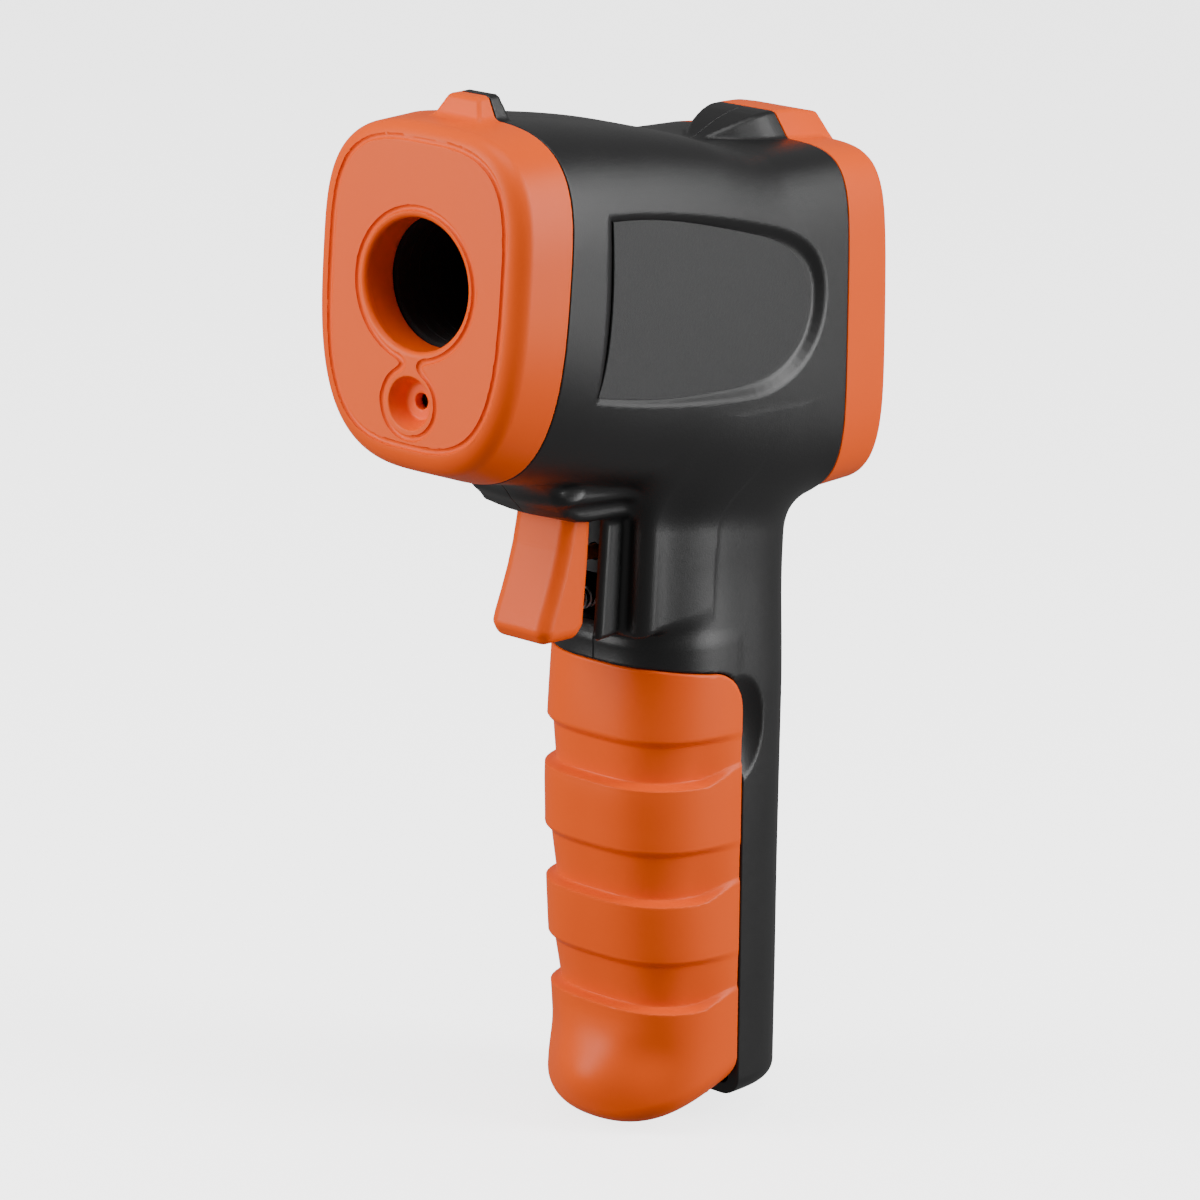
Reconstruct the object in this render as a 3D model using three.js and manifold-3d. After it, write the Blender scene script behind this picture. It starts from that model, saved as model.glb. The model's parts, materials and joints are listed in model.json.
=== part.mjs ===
// Pistol-type infrared thermometer: moulded body in two halves, front and rear bezels,
// measuring trigger, grip door and what they hold inside. Millimetres, +Z up.
// Sizes are counted from the lens axis (X = 0, Z = 0) at the front face (Y = 0), rearwards.
import * as THREE from 'three';
import { mergeVertices } from 'three/addons/utils/BufferGeometryUtils.js';
import Module from 'manifold-3d';

const wasm = await Module();
wasm.setup();

// Overall sizes
const HEAD_HALF_WIDTH = 21.5;
const FRONT_TOP = 26;
const FRONT_BOTTOM = -31.8;
const REAR_TOP = 17.5;
const REAR_BOTTOM = -42;
const BEZEL_DEPTH = 11.2;
const REAR_SEAM_Y = 82;
const REAR_DEPTH = 11.6;
const REAR_TILT = THREE.MathUtils.degToRad(5.2);
const GRIP_HALF_WIDTH = 16;
const GRIP_HALF_DEPTH = 18.7;
const GRIP_LEAN = 0.069;
const GRIP_BOTTOM = -144.5;
const GRIP_MID_Y = 71.6;
const GRIP_MID_Z = -100;

// Walls and clearances
const WALL = 2.2;
const GAP = 0.3;
const RUN = 0.15;

// Head outline: a two-part superellipse at each end
const FRONT_CENTRE = 3;
const REAR_CENTRE = -12;
const FRONT_RISE_CURVE = 3.2;
const FRONT_DROP_CURVE = 2.9;
const REAR_RISE_CURVE = 6;
const REAR_DROP_CURVE = 5.3;
const SHOULDER_Y = 52;
const SHOULDER_TOP = 22.7;
const VALLEY_Y = 65;
const HEAD_SIDES = 36;
const FRONT_DRAFT = 0.8;
const FRONT_ROUNDING = 3;

// Optics
const LENS_BORE_R = 10.3;
const LENS_BORE_LIP = 0.9;
const LENS_BORE_DEPTH = 6.8;
const SLEEVE_WALL = 1.5;
const BARREL_WALL = 1.5;
const BARREL_LENGTH = 41;
const LENS_R = 7.6;
const LENS_THICKNESS = 1.8;
const LENS_SETBACK = 22;
const SENSOR_R = 4.1;
const SENSOR_LENGTH = 5.2;
const LASER_Z = -18.4;
const LASER_BORE_R = 2.95;
const LASER_BORE_DEPTH = 3;
const LASER_APERTURE_R = 1.3;
const LASER_R = 3;
const LASER_LENGTH = 15;
const LASER_LENS_R = 1.2;

// Sight and ridge on top
const SIGHT_TOP = 28.9;
const SIGHT_TOP_HALF = 2.9;
const SIGHT_BASE_HALF = 4.5;
const SIGHT_START = 7;
const SIGHT_END = 14.2;
const RIDGE_TOP_HALF = 5.7;
const RIDGE_BASE_HALF = 8.7;
const RIDGE_HEIGHT = 4.4;
const RIDGE_START = 65.8;
const RIDGE_CREST_Y = 76.5;
const RIDGE_END_SETBACK = 2.6;

// Trigger and the neck that carries it
const COLLAR_HALF_WIDTH = 8.5;
const COLLAR_FRONT_Y = 21.5;
const COLLAR_BOTTOM = -42;
const COLUMN_HALF_WIDTH = 7.6;
const COLUMN_FRONT = 40.5;
const COLUMN_BOTTOM = -61;
const TRIGGER_HALF_WIDTH = 6;
const TRIGGER_PIVOT_Y = 36;
const TRIGGER_PIVOT_Z = -33.5;
const TRIGGER_HUB_R = 3.6;
const TRIGGER_TIP_Z = -60.5;
const TRIGGER_PIN_R = 1.2;
const SWITCH_Z = -48.5;
const SWITCH_FRONT = 47.6;
const SWITCH_SIZE = [5.8, 6.4, 12.8];
const SWITCH_DROP = 3.5;
const PLUNGER_R = 1.2;
const PLUNGER_OUT = 3.2;
const SPRING_Z = -56;
const SPRING_R = 2;
const SPRING_WIRE_R = 0.3;
const SPRING_TURNS = 5;

// Grip door
const DOOR_TOP = -67;
const DOOR_WALL = 2;
const DOOR_SEAM_TOP_Y = 69.6;
const DOOR_SEAM_BOTTOM_Y = 74.7;
const DOOR_TOE = -149;
const DOOR_TOE_Y = 54;
const DOOR_PIVOT_Y = 67.5;
const DOOR_PIVOT_Z = -139.5;
const DOOR_TRUNNION_R = 1.8;
const DOOR_SWING_R = 8;
const DOOR_PROUD = 1.9;
const BAND_DEPTH = 2;
const BAND_FIRST_Z = -83.3;
const BAND_PITCH = 19.3;
const BAND_HALF = 3.9;
const BAND_EDGE = 0.9;
const BAND_COUNT = 3;

// Batteries and their tray
const BATTERY_R = 5.25;
const BATTERY_LENGTH = 44.5;
const BATTERY_CENTRE_X = 6.1;
const BATTERY_CENTRE_Y = 67;
const BATTERY_TOP = -84;
const NIPPLE_R = 1.9;
const NIPPLE_HEIGHT = 0.8;
const TRAY_WALL = 1.4;
const CONTACT_SPRING_ROOM = 4;
const CONTACT_THICKNESS = 0.5;

// Display end
const BOARD_THICKNESS = 1.6;
const DISPLAY_HALF_WIDTH = 14;
const DISPLAY_TOP = 12.5;
const DISPLAY_HEIGHT = 24;
const DISPLAY_THICKNESS = 2.8;
const WINDOW_THICKNESS = 1.2;
const BUTTON_R = 3.7;
const BUTTON_Z = -30;
const BUTTON_PITCH = 10.5;
const BUTTON_PROUD = 1.1;
const BUTTON_TRAVEL = 0.8;
const BUTTON_FLANGE = 0.7;

// Fasteners
const SCREW_R = 1.25;
const SCREW_HEAD_R = 2.2;
const SCREW_HEAD_HEIGHT = 1.7;
const SCREW_LENGTH = 12;
const SCREW_SEAT_X = 7.5;
const BOSS_WALL = 1.2;
const BODY_SCREWS = [[57, 14.6], [23, -27.4], [77.5, -33.5], [80.5, -66], [81.5, -137]];
const BOARD_SCREWS = [[31, -22], [69, 8]];
const BOARD_SCREW_LENGTH = 3;

// Side labels
const LABEL_THICKNESS = 0.4;
const LABEL_RECESS = 0.8;

const BLACK = { color: 0x242425, roughness: 0.55, metalness: 0 };
const ORANGE = { color: 0xe2561e, roughness: 0.45, metalness: 0 };
const LABEL = { color: 0x1b1b1c, roughness: 0.7, metalness: 0 };
const METAL = { color: 0xb9bbbd, roughness: 0.3, metalness: 1 };
const BRASS = { color: 0xb8923d, roughness: 0.35, metalness: 1 };
const BOARD = { color: 0x1f5b34, roughness: 0.5, metalness: 0 };
const GLASS = { color: 0xcfd8d6, roughness: 0.1, metalness: 0 };
const SCREEN = { color: 0x9fb0a0, roughness: 0.3, metalness: 0 };
const RUBBER = { color: 0x3a3a3c, roughness: 0.8, metalness: 0 };
const CELL = { color: 0x2f6fb0, roughness: 0.35, metalness: 0.3 };
const WIRE_RED = { color: 0xb02020, roughness: 0.5, metalness: 0 };
const WIRE_BLACK = { color: 0x1a1a1a, roughness: 0.5, metalness: 0 };

const part = new THREE.Group();

// Solids
function solid(geometry) {
  const bare = geometry.index ? geometry.toNonIndexed() : geometry.clone();
  bare.deleteAttribute('normal');
  bare.deleteAttribute('uv');
  const merged = mergeVertices(bare, 1e-4);
  return new wasm.Manifold(new wasm.Mesh({
    numProp: 3,
    vertProperties: new Float32Array(merged.attributes.position.array),
    triVerts: new Uint32Array(merged.index.array),
  }));
}

function geometryOf(body) {
  const mesh = body.getMesh();
  const geometry = new THREE.BufferGeometry();
  geometry.setAttribute('position', new THREE.BufferAttribute(new Float32Array(mesh.vertProperties), 3));
  geometry.setIndex(new THREE.BufferAttribute(new Uint32Array(mesh.triVerts), 1));
  geometry.computeVertexNormals();
  return geometry;
}

function add(name, shape, look, parent = part) {
  const geometry = shape.isBufferGeometry ? shape : geometryOf(shape);
  const mesh = new THREE.Mesh(geometry, new THREE.MeshStandardMaterial(look));
  mesh.name = name;
  parent.add(mesh);
  return mesh;
}

function join(pieces) {
  return pieces.reduce((whole, piece) => whole.add(piece));
}

function box(x0, x1, y0, y1, z0, z1) {
  const geometry = new THREE.BoxGeometry(x1 - x0, y1 - y0, z1 - z0);
  geometry.translate((x0 + x1) / 2, (y0 + y1) / 2, (z0 + z1) / 2);
  return solid(geometry);
}

function rodX(y, z, r, x0, x1, sides = 20) {
  const geometry = new THREE.CylinderGeometry(r, r, x1 - x0, sides);
  geometry.rotateZ(-Math.PI / 2);
  geometry.translate((x0 + x1) / 2, y, z);
  return solid(geometry);
}

function rodY(x, z, r, y0, y1, sides = 24, endR = r) {
  const geometry = new THREE.CylinderGeometry(endR, r, y1 - y0, sides);
  geometry.translate(x, (y0 + y1) / 2, z);
  return solid(geometry);
}

function rodZ(x, y, r, z0, z1, sides = 24, endR = r) {
  const geometry = new THREE.CylinderGeometry(endR, r, z1 - z0, sides);
  geometry.rotateX(Math.PI / 2);
  geometry.translate(x, y, (z0 + z1) / 2);
  return solid(geometry);
}

// A side profile in Y and Z, extruded across X
const ACROSS = new THREE.Matrix4().makeBasis(
  new THREE.Vector3(0, 1, 0),
  new THREE.Vector3(0, 0, 1),
  new THREE.Vector3(1, 0, 0),
);

function profile(points) {
  return new THREE.Shape(points.map(([y, z]) => new THREE.Vector2(y, z)));
}

function plate(shape, x0, x1, curveSegments = 6) {
  const geometry = new THREE.ExtrudeGeometry(shape, { depth: x1 - x0, bevelEnabled: false, curveSegments });
  geometry.applyMatrix4(ACROSS);
  geometry.translate(x0, 0, 0);
  return solid(geometry);
}

// A closed skin through a row of rings that all have the same number of points
function loft(rings) {
  const count = rings[0].length;
  const positions = rings.flat(2);
  const index = [];
  const first = positions.length / 3;
  for (const ring of [rings[0], rings[rings.length - 1]]) {
    const middle = [0, 1, 2].map((axis) => ring.reduce((sum, point) => sum + point[axis], 0) / count);
    positions.push(...middle);
  }
  for (let r = 0; r < rings.length - 1; r += 1) {
    for (let i = 0; i < count; i += 1) {
      const next = (i + 1) % count;
      const a = r * count + i;
      const b = r * count + next;
      const c = (r + 1) * count + i;
      const d = (r + 1) * count + next;
      index.push(a, b, d, a, d, c);
    }
  }
  const last = (rings.length - 1) * count;
  for (let i = 0; i < count; i += 1) {
    const next = (i + 1) % count;
    index.push(first, next, i);
    index.push(first + 1, last + i, last + next);
  }
  const geometry = new THREE.BufferGeometry();
  geometry.setAttribute('position', new THREE.BufferAttribute(new Float32Array(positions), 3));
  geometry.setIndex(index);
  const body = solid(geometry);
  if (body.volume() > 0) return body;
  geometry.setIndex(index.reverse());
  return solid(geometry);
}

// Head
function rounded(value, power) {
  return Math.sign(value) * Math.abs(value) ** (2 / power);
}

function outline(shape, inset = 0) {
  const points = [];
  for (let i = 0; i < HEAD_SIDES; i += 1) {
    const angle = (i + 0.5) * 2 * Math.PI / HEAD_SIDES;
    const rising = Math.sin(angle) > 0;
    const power = rising ? shape.riseCurve : shape.dropCurve;
    const reach = (rising ? shape.top - shape.centre : shape.centre - shape.bottom) - inset;
    points.push([
      (shape.halfWidth - inset) * rounded(Math.cos(angle), power),
      shape.centre + reach * rounded(Math.sin(angle), power),
    ]);
  }
  return points;
}

function headShape(y) {
  const { lerp, clamp, smoothstep } = THREE.MathUtils;
  const along = (y - BEZEL_DEPTH) / (REAR_SEAM_Y - BEZEL_DEPTH);
  const slope = clamp((y - BEZEL_DEPTH) / (SHOULDER_Y - BEZEL_DEPTH), 0, 1);
  const shoulder = lerp(FRONT_TOP, SHOULDER_TOP, slope);
  return {
    halfWidth: HEAD_HALF_WIDTH,
    top: lerp(shoulder, REAR_TOP, smoothstep(y, SHOULDER_Y, VALLEY_Y)),
    bottom: lerp(FRONT_BOTTOM, REAR_BOTTOM, along),
    centre: lerp(FRONT_CENTRE, REAR_CENTRE, along),
    riseCurve: lerp(FRONT_RISE_CURVE, REAR_RISE_CURVE, along),
    dropCurve: lerp(FRONT_DROP_CURVE, REAR_DROP_CURVE, along),
    tilt: REAR_TILT * Math.max(along, 0),
  };
}

function headRing(y, inset = 0) {
  const shape = headShape(y);
  return outline(shape, inset).map(([x, z]) => [x, y - z * Math.tan(shape.tilt), z]);
}

function headStations() {
  const bend = (SHOULDER_Y + VALLEY_Y) / 2;
  return [BEZEL_DEPTH + GAP, (BEZEL_DEPTH + SHOULDER_Y) / 2, SHOULDER_Y, bend, VALLEY_Y, REAR_SEAM_Y - GAP];
}

// The tilted frame of the display end: its own Y runs square out of the seam
const display = new THREE.Group();
display.position.set(0, REAR_SEAM_Y, 0);
display.rotation.x = REAR_TILT;
part.add(display);
display.updateMatrix();

function inDisplayFrame(body) {
  return body.transform(display.matrix.elements.slice());
}

function behindRearSeam(clearance) {
  const far = 200;
  return inDisplayFrame(box(-far, far, clearance, far, -far, far));
}

function ridgeRing(y, top) {
  const base = REAR_TOP - WALL;
  const slope = (RIDGE_BASE_HALF - RIDGE_TOP_HALF) / RIDGE_HEIGHT;
  const half = RIDGE_TOP_HALF + slope * (top - base);
  return [[half, y, base], [RIDGE_TOP_HALF, y, top], [-RIDGE_TOP_HALF, y, top], [-half, y, base]];
}

function ridge() {
  const crest = REAR_TOP + RIDGE_HEIGHT;
  const back = REAR_SEAM_Y + REAR_DEPTH;
  return loft([
    ridgeRing(RIDGE_START, REAR_TOP - GAP),
    ridgeRing(RIDGE_CREST_Y, crest),
    ridgeRing(REAR_SEAM_Y, crest),
    ridgeRing(back - RIDGE_END_SETBACK, crest - 2 * GAP),
  ]);
}

function sight(y0, y1) {
  const base = headShape(BEZEL_DEPTH).top - WALL / 2;
  const ring = (y) => [
    [SIGHT_BASE_HALF, y, base],
    [SIGHT_TOP_HALF, y, SIGHT_TOP],
    [-SIGHT_TOP_HALF, y, SIGHT_TOP],
    [-SIGHT_BASE_HALF, y, base],
  ];
  return loft([ring(y0), ring(y1)]);
}

// Grip
function gripCentre(z) {
  return GRIP_MID_Y - GRIP_LEAN * (z - GRIP_MID_Z);
}

const GRIP_CURVE = 3;
const GRIP_SIDES = 32;

function gripRing(z, inset = 0, proud = 0) {
  const points = [];
  for (let i = 0; i < GRIP_SIDES; i += 1) {
    const angle = (i + 0.5) * 2 * Math.PI / GRIP_SIDES;
    const depth = GRIP_HALF_DEPTH - inset + (Math.sin(angle) < 0 ? proud : 0);
    points.push([
      (GRIP_HALF_WIDTH - inset) * rounded(Math.cos(angle), GRIP_CURVE),
      gripCentre(z) + depth * rounded(Math.sin(angle), GRIP_CURVE),
      z,
    ]);
  }
  return points;
}

const GRIP_TOP = (FRONT_BOTTOM + REAR_BOTTOM) / 2 + WALL;
const GRIP_EDGE = 1.5;

function gripOuter() {
  const rings = [
    gripRing(GRIP_BOTTOM, GRIP_EDGE),
    gripRing(GRIP_BOTTOM + GRIP_EDGE),
    gripRing(DOOR_TOP),
    gripRing(GRIP_TOP),
  ];
  return loft(rings);
}

function gripCavity() {
  return loft([gripRing(GRIP_BOTTOM + WALL, WALL), gripRing(DOOR_TOP, WALL), gripRing(GRIP_TOP + WALL, WALL)]);
}

// Grip door: the front half of the grip from the top seam down to the toe
const DOOR_CORNER = 7;

function doorProfile(grow) {
  const front = gripCentre(DOOR_TOP) - 2 * GRIP_HALF_DEPTH;
  const top = DOOR_TOP + grow;
  const corner = DOOR_CORNER + grow;
  const seamTop = DOOR_SEAM_TOP_Y + grow;
  const seamBottom = DOOR_SEAM_BOTTOM_Y + grow;
  const heel = DOOR_PIVOT_Z - DOOR_TRUNNION_R - grow;
  const shape = new THREE.Shape();
  shape.moveTo(front, DOOR_TOE - GRIP_EDGE);
  shape.lineTo(DOOR_TOE_Y, DOOR_TOE - grow);
  shape.lineTo(DOOR_PIVOT_Y + DOOR_TRUNNION_R + grow, GRIP_BOTTOM - GRIP_EDGE / 2 - grow);
  shape.quadraticCurveTo(seamBottom, GRIP_BOTTOM, seamBottom, heel);
  shape.lineTo(seamTop, top - corner);
  shape.quadraticCurveTo(seamTop, top, seamTop - corner, top);
  shape.lineTo(front, top);
  return shape;
}

function doorRegion(grow = 0) {
  const across = GRIP_HALF_WIDTH + WALL;
  return plate(doorProfile(grow), -across, across);
}

function bandStations() {
  const stations = [];
  for (let band = 0; band < BAND_COUNT; band += 1) {
    const middle = BAND_FIRST_Z - band * BAND_PITCH;
    stations.push({ z: middle + BAND_HALF + BAND_EDGE, deep: 0 });
    stations.push({ z: middle + BAND_HALF, deep: BAND_DEPTH });
    stations.push({ z: middle - BAND_HALF, deep: BAND_DEPTH });
    stations.push({ z: middle - BAND_HALF - BAND_EDGE, deep: 0 });
  }
  return stations;
}

function doorOuter() {
  const rings = [gripRing(DOOR_TOP + GRIP_EDGE, 0, DOOR_PROUD)];
  for (const { z, deep } of bandStations()) rings.push(gripRing(z, 0, DOOR_PROUD - deep));
  rings.push(gripRing(GRIP_BOTTOM + GRIP_EDGE, 0, DOOR_PROUD));
  rings.push(gripRing(DOOR_TOE + GRIP_EDGE, GRIP_EDGE, DOOR_PROUD));
  rings.push(gripRing(DOOR_TOE, 2 * GRIP_EDGE, DOOR_PROUD));
  return loft(rings);
}

function doorInner() {
  const proud = DOOR_PROUD - BAND_DEPTH;
  const floor = DOOR_PIVOT_Z - DOOR_TRUNNION_R - DOOR_WALL;
  return loft([gripRing(floor, DOOR_WALL, proud), gripRing(DOOR_TOP - DOOR_WALL, DOOR_WALL, proud)]);
}

const EAR_THICKNESS = 3.2;
const EAR_OUTER = GRIP_HALF_WIDTH - DOOR_WALL - 1.9;
const EAR_INNER = EAR_OUTER - EAR_THICKNESS;

function batteryDoor() {
  const shell = doorOuter().intersect(doorRegion()).subtract(doorInner());
  const reach = GRIP_HALF_WIDTH - DOOR_WALL / 2;
  const pins = [-1, 1].map((side) => {
    const ends = [side * EAR_INNER, side * reach].sort((a, b) => a - b);
    return rodX(DOOR_PIVOT_Y, DOOR_PIVOT_Z, DOOR_TRUNNION_R, ends[0], ends[1]);
  });
  return join([shell, ...pins]);
}

// Battery tray extents
const BATTERY_BOTTOM = BATTERY_TOP - BATTERY_LENGTH;
const TRAY_HALF = BATTERY_CENTRE_X + BATTERY_R + GAP + TRAY_WALL;
const TRAY_TOP = BATTERY_TOP + CONTACT_SPRING_ROOM + TRAY_WALL;
const TRAY_BOTTOM = BATTERY_BOTTOM - 1.5 - TRAY_WALL;
const TRAY_BACK = BATTERY_CENTRE_Y + BATTERY_R + GAP + TRAY_WALL;

// Two ears inside the grip that hold the door's trunnions
const EAR_R = 3.5;
const EAR_BAR_TOP = TRAY_BOTTOM - GAP;
const EAR_BAR = 2.4;

function doorEar(side) {
  const back = gripCentre(DOOR_PIVOT_Z) + GRIP_HALF_DEPTH - WALL / 2;
  const shape = profile([
    [DOOR_PIVOT_Y - EAR_R, DOOR_PIVOT_Z],
    [DOOR_PIVOT_Y + EAR_R, DOOR_PIVOT_Z],
    [DOOR_PIVOT_Y + EAR_R, EAR_BAR_TOP - EAR_BAR],
    [back, EAR_BAR_TOP - EAR_BAR],
    [back, EAR_BAR_TOP],
    [DOOR_PIVOT_Y - EAR_R, EAR_BAR_TOP],
  ]);
  const ends = [side * EAR_INNER, side * EAR_OUTER].sort((a, b) => a - b);
  const round = rodX(DOOR_PIVOT_Y, DOOR_PIVOT_Z, EAR_R, ends[0], ends[1]);
  const hole = rodX(DOOR_PIVOT_Y, DOOR_PIVOT_Z, DOOR_TRUNNION_R + RUN, ends[0] - 1, ends[1] + 1);
  return plate(shape, ends[0], ends[1]).add(round).subtract(hole);
}

// Collar, column and foot round the trigger
function neck() {
  const top = FRONT_BOTTOM + 2 * WALL;
  const grip = gripCentre(COLLAR_BOTTOM) - GRIP_HALF_DEPTH + WALL;
  const collar = profile([
    [BEZEL_DEPTH + 2 * GAP, top],
    [COLLAR_FRONT_Y, FRONT_BOTTOM - WALL],
    [COLLAR_FRONT_Y + 7, COLLAR_BOTTOM + 2],
    [COLLAR_FRONT_Y + 11, COLLAR_BOTTOM],
    [grip, COLLAR_BOTTOM],
    [grip, top],
  ]);
  const column = profile([
    [COLUMN_FRONT, COLLAR_BOTTOM + WALL],
    [COLUMN_FRONT, COLUMN_BOTTOM + WALL],
    [COLUMN_FRONT + 6, COLUMN_BOTTOM],
    [grip, COLUMN_BOTTOM],
    [grip, COLLAR_BOTTOM + WALL],
  ]);
  return plate(collar, -COLLAR_HALF_WIDTH, COLLAR_HALF_WIDTH)
    .add(plate(column, -COLUMN_HALF_WIDTH, COLUMN_HALF_WIDTH));
}

const BAY_HALF = TRIGGER_HALF_WIDTH + 2 * GAP;

function triggerBay() {
  const front = TRIGGER_PIVOT_Y - TRIGGER_HUB_R - 2 * GAP;
  const top = FRONT_BOTTOM + 2 * WALL + 1;
  const back = SWITCH_FRONT + SWITCH_SIZE[1] + 1;
  const shelf = SWITCH_Z - SWITCH_DROP - 2 * GAP;
  const shape = profile([
    [front, top],
    [front, COLLAR_BOTTOM - 1],
    [COLUMN_FRONT - 1, COLLAR_BOTTOM - 1],
    [COLUMN_FRONT - 1, COLUMN_BOTTOM - 1],
    [SWITCH_FRONT - PLUNGER_OUT, COLUMN_BOTTOM - 1],
    [SWITCH_FRONT - PLUNGER_OUT, SPRING_Z - SPRING_R - 1],
    [SWITCH_FRONT, SPRING_Z - SPRING_R - 1],
    [SWITCH_FRONT, shelf],
    [back, shelf],
    [back, top],
  ]);
  return plate(shape, -BAY_HALF, BAY_HALF);
}

// Screw bosses: the head sits in the right half, the thread bites in the left half
function rightBoss([y, z]) {
  const r = SCREW_HEAD_R + GAP + BOSS_WALL;
  return rodX(y, z, r, -HEAD_HALF_WIDTH, -GAP / 2, 14);
}

function leftBoss([y, z]) {
  return rodX(y, z, SCREW_R + GAP + BOSS_WALL, GAP / 2, HEAD_HALF_WIDTH, 12);
}

function screwHole([y, z]) {
  const seat = -SCREW_SEAT_X + SCREW_HEAD_HEIGHT;
  const recess = rodX(y, z, SCREW_HEAD_R + GAP, -2 * HEAD_HALF_WIDTH, seat, 14);
  const pilot = rodX(y, z, SCREW_R + GAP, seat - 1, seat + SCREW_LENGTH + GAP, 12);
  return recess.add(pilot);
}

function machineScrew(y, z, headX, length) {
  const head = rodX(y, z, SCREW_HEAD_R, headX, headX + SCREW_HEAD_HEIGHT, 16);
  const shank = rodX(y, z, SCREW_R, headX + SCREW_HEAD_HEIGHT - GAP, headX + SCREW_HEAD_HEIGHT + length, 12);
  const slot = box(headX - 1, headX + 0.8, y - SCREW_HEAD_R * 0.7, y + SCREW_HEAD_R * 0.7, z - 0.35, z + 0.35);
  const cross = box(headX - 1, headX + 0.8, y - 0.35, y + 0.35, z - SCREW_HEAD_R * 0.7, z + SCREW_HEAD_R * 0.7);
  return head.add(shank).subtract(slot).subtract(cross);
}

// Main board, standing along the right wall
const BOARD_X = -12.4;
const BOARD_FRONT = 27.5;
const BOARD_REAR = 74;
const BOARD_TOP = 10.5;
const BOARD_BOTTOM = -25.5;

function boardStandoffs() {
  const start = -HEAD_HALF_WIDTH + WALL / 2;
  return BOARD_SCREWS.map(([y, z]) => rodX(y, z, SCREW_R + BOSS_WALL, start, BOARD_X - BOARD_THICKNESS - GAP)
    .subtract(rodX(y, z, SCREW_R + GAP, BOARD_X - BOARD_SCREW_LENGTH - 2, BOARD_X)));
}

// Label outline on the side of the head
const LABEL_FRONT = 20.5;
const LABEL_BACK = 76;
const LABEL_TOP = 11.5;
const LABEL_BOTTOM = -19.5;

function labelShape(inset) {
  const front = LABEL_FRONT + inset;
  const back = LABEL_BACK - inset;
  const top = LABEL_TOP - inset;
  const bottom = LABEL_BOTTOM + inset;
  const nose = (LABEL_TOP + LABEL_BOTTOM) / 2;
  const shape = new THREE.Shape();
  shape.moveTo(front, bottom);
  shape.lineTo(front + 30, bottom - 1);
  shape.quadraticCurveTo(back, bottom, back, nose - 2);
  shape.quadraticCurveTo(back, nose + 7, front + 38, top - 4);
  shape.lineTo(front, top);
  return shape;
}

function labelRecess(side) {
  const ends = [side * (HEAD_HALF_WIDTH - LABEL_RECESS), side * (HEAD_HALF_WIDTH + WALL)].sort((a, b) => a - b);
  return plate(labelShape(0), ends[0], ends[1]);
}

function label(side) {
  const base = HEAD_HALF_WIDTH - LABEL_RECESS + 0.1;
  const ends = [side * base, side * (base + LABEL_THICKNESS)].sort((a, b) => a - b);
  return plate(labelShape(GAP), ends[0], ends[1]);
}

// The body, before it is split
function bodySolid() {
  const stations = headStations();
  const outer = join([
    loft(stations.map((y) => headRing(y))),
    sight(BEZEL_DEPTH + GAP, SIGHT_END),
    ridge(),
    gripOuter(),
    neck(),
  ]).subtract(behindRearSeam(-GAP));
  const reach = stations.map((y) => headRing(y, WALL));
  const open = [headRing(BEZEL_DEPTH - 2, WALL), ...reach, headRing(REAR_SEAM_Y + 2, WALL)];
  const cavity = join([loft(open), gripCavity(), triggerBay()]);
  const bosses = join(BODY_SCREWS.flatMap((place) => [rightBoss(place), leftBoss(place)]))
    .intersect(outer)
    .subtract(doorRegion(GAP));
  const ears = join([doorEar(1), doorEar(-1)]).intersect(outer);
  const swing = rodX(DOOR_PIVOT_Y, DOOR_PIVOT_Z, DOOR_SWING_R, -GRIP_HALF_WIDTH, GRIP_HALF_WIDTH, 36);
  let body = outer.subtract(cavity);
  body = body.subtract(doorRegion(GAP)).subtract(swing);
  body = body.add(bosses).add(ears);
  body = body.add(join(boardStandoffs()));
  for (const place of BODY_SCREWS) body = body.subtract(screwHole(place));
  body = body.subtract(pinSeat());
  return body.subtract(labelRecess(1)).subtract(labelRecess(-1));
}

function pinSeat() {
  const half = COLLAR_HALF_WIDTH - 0.6;
  return rodX(TRIGGER_PIVOT_Y, TRIGGER_PIVOT_Z, TRIGGER_PIN_R + GAP, -half, half);
}

const far = 300;
const body = bodySolid();
add('left_shell', body.intersect(box(GAP / 2, far, -far, far, -far, far)), BLACK);
add('right_shell', body.intersect(box(-far, -GAP / 2, -far, far, -far, far)), BLACK);

// Front bezel with the lens and laser bores
function frontBezel() {
  const end = BEZEL_DEPTH - GAP;
  const ring = (y, inset) => outline(headShape(BEZEL_DEPTH), inset).map(([x, z]) => [x, y, z]);
  const steps = 3;
  const rings = [];
  for (let i = 0; i <= steps; i += 1) {
    const angle = i * Math.PI / 2 / steps;
    rings.push(ring(FRONT_ROUNDING * (1 - Math.sin(angle)), FRONT_DRAFT + FRONT_ROUNDING * (1 - Math.cos(angle))));
  }
  rings.reverse();
  rings.push(ring(end, 0));
  const hollow = loft([ring(WALL, WALL + FRONT_DRAFT), ring(BEZEL_DEPTH, WALL)]);
  const sleeve = rodY(0, 0, LENS_BORE_R + SLEEVE_WALL, 0.5, LENS_BORE_DEPTH);
  const laserSleeve = rodY(0, LASER_Z, LASER_R + SLEEVE_WALL, 0.5, LASER_BORE_DEPTH + SLEEVE_WALL);
  const bore = join([
    rodY(0, 0, LENS_BORE_R, -1, BEZEL_DEPTH, 48),
    rodY(0, 0, LENS_BORE_R + LENS_BORE_LIP, -0.01, LENS_BORE_LIP, 48, LENS_BORE_R),
    rodY(0, LASER_Z, LASER_BORE_R, -1, LASER_BORE_DEPTH),
    rodY(0, LASER_Z, LASER_APERTURE_R, -1, BEZEL_DEPTH, 16),
  ]);
  const shell = loft(rings).subtract(hollow.subtract(sleeve).subtract(laserSleeve)).subtract(bore);
  return shell.add(sight(SIGHT_START, end));
}
add('front_bezel', frontBezel(), ORANGE);

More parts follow.
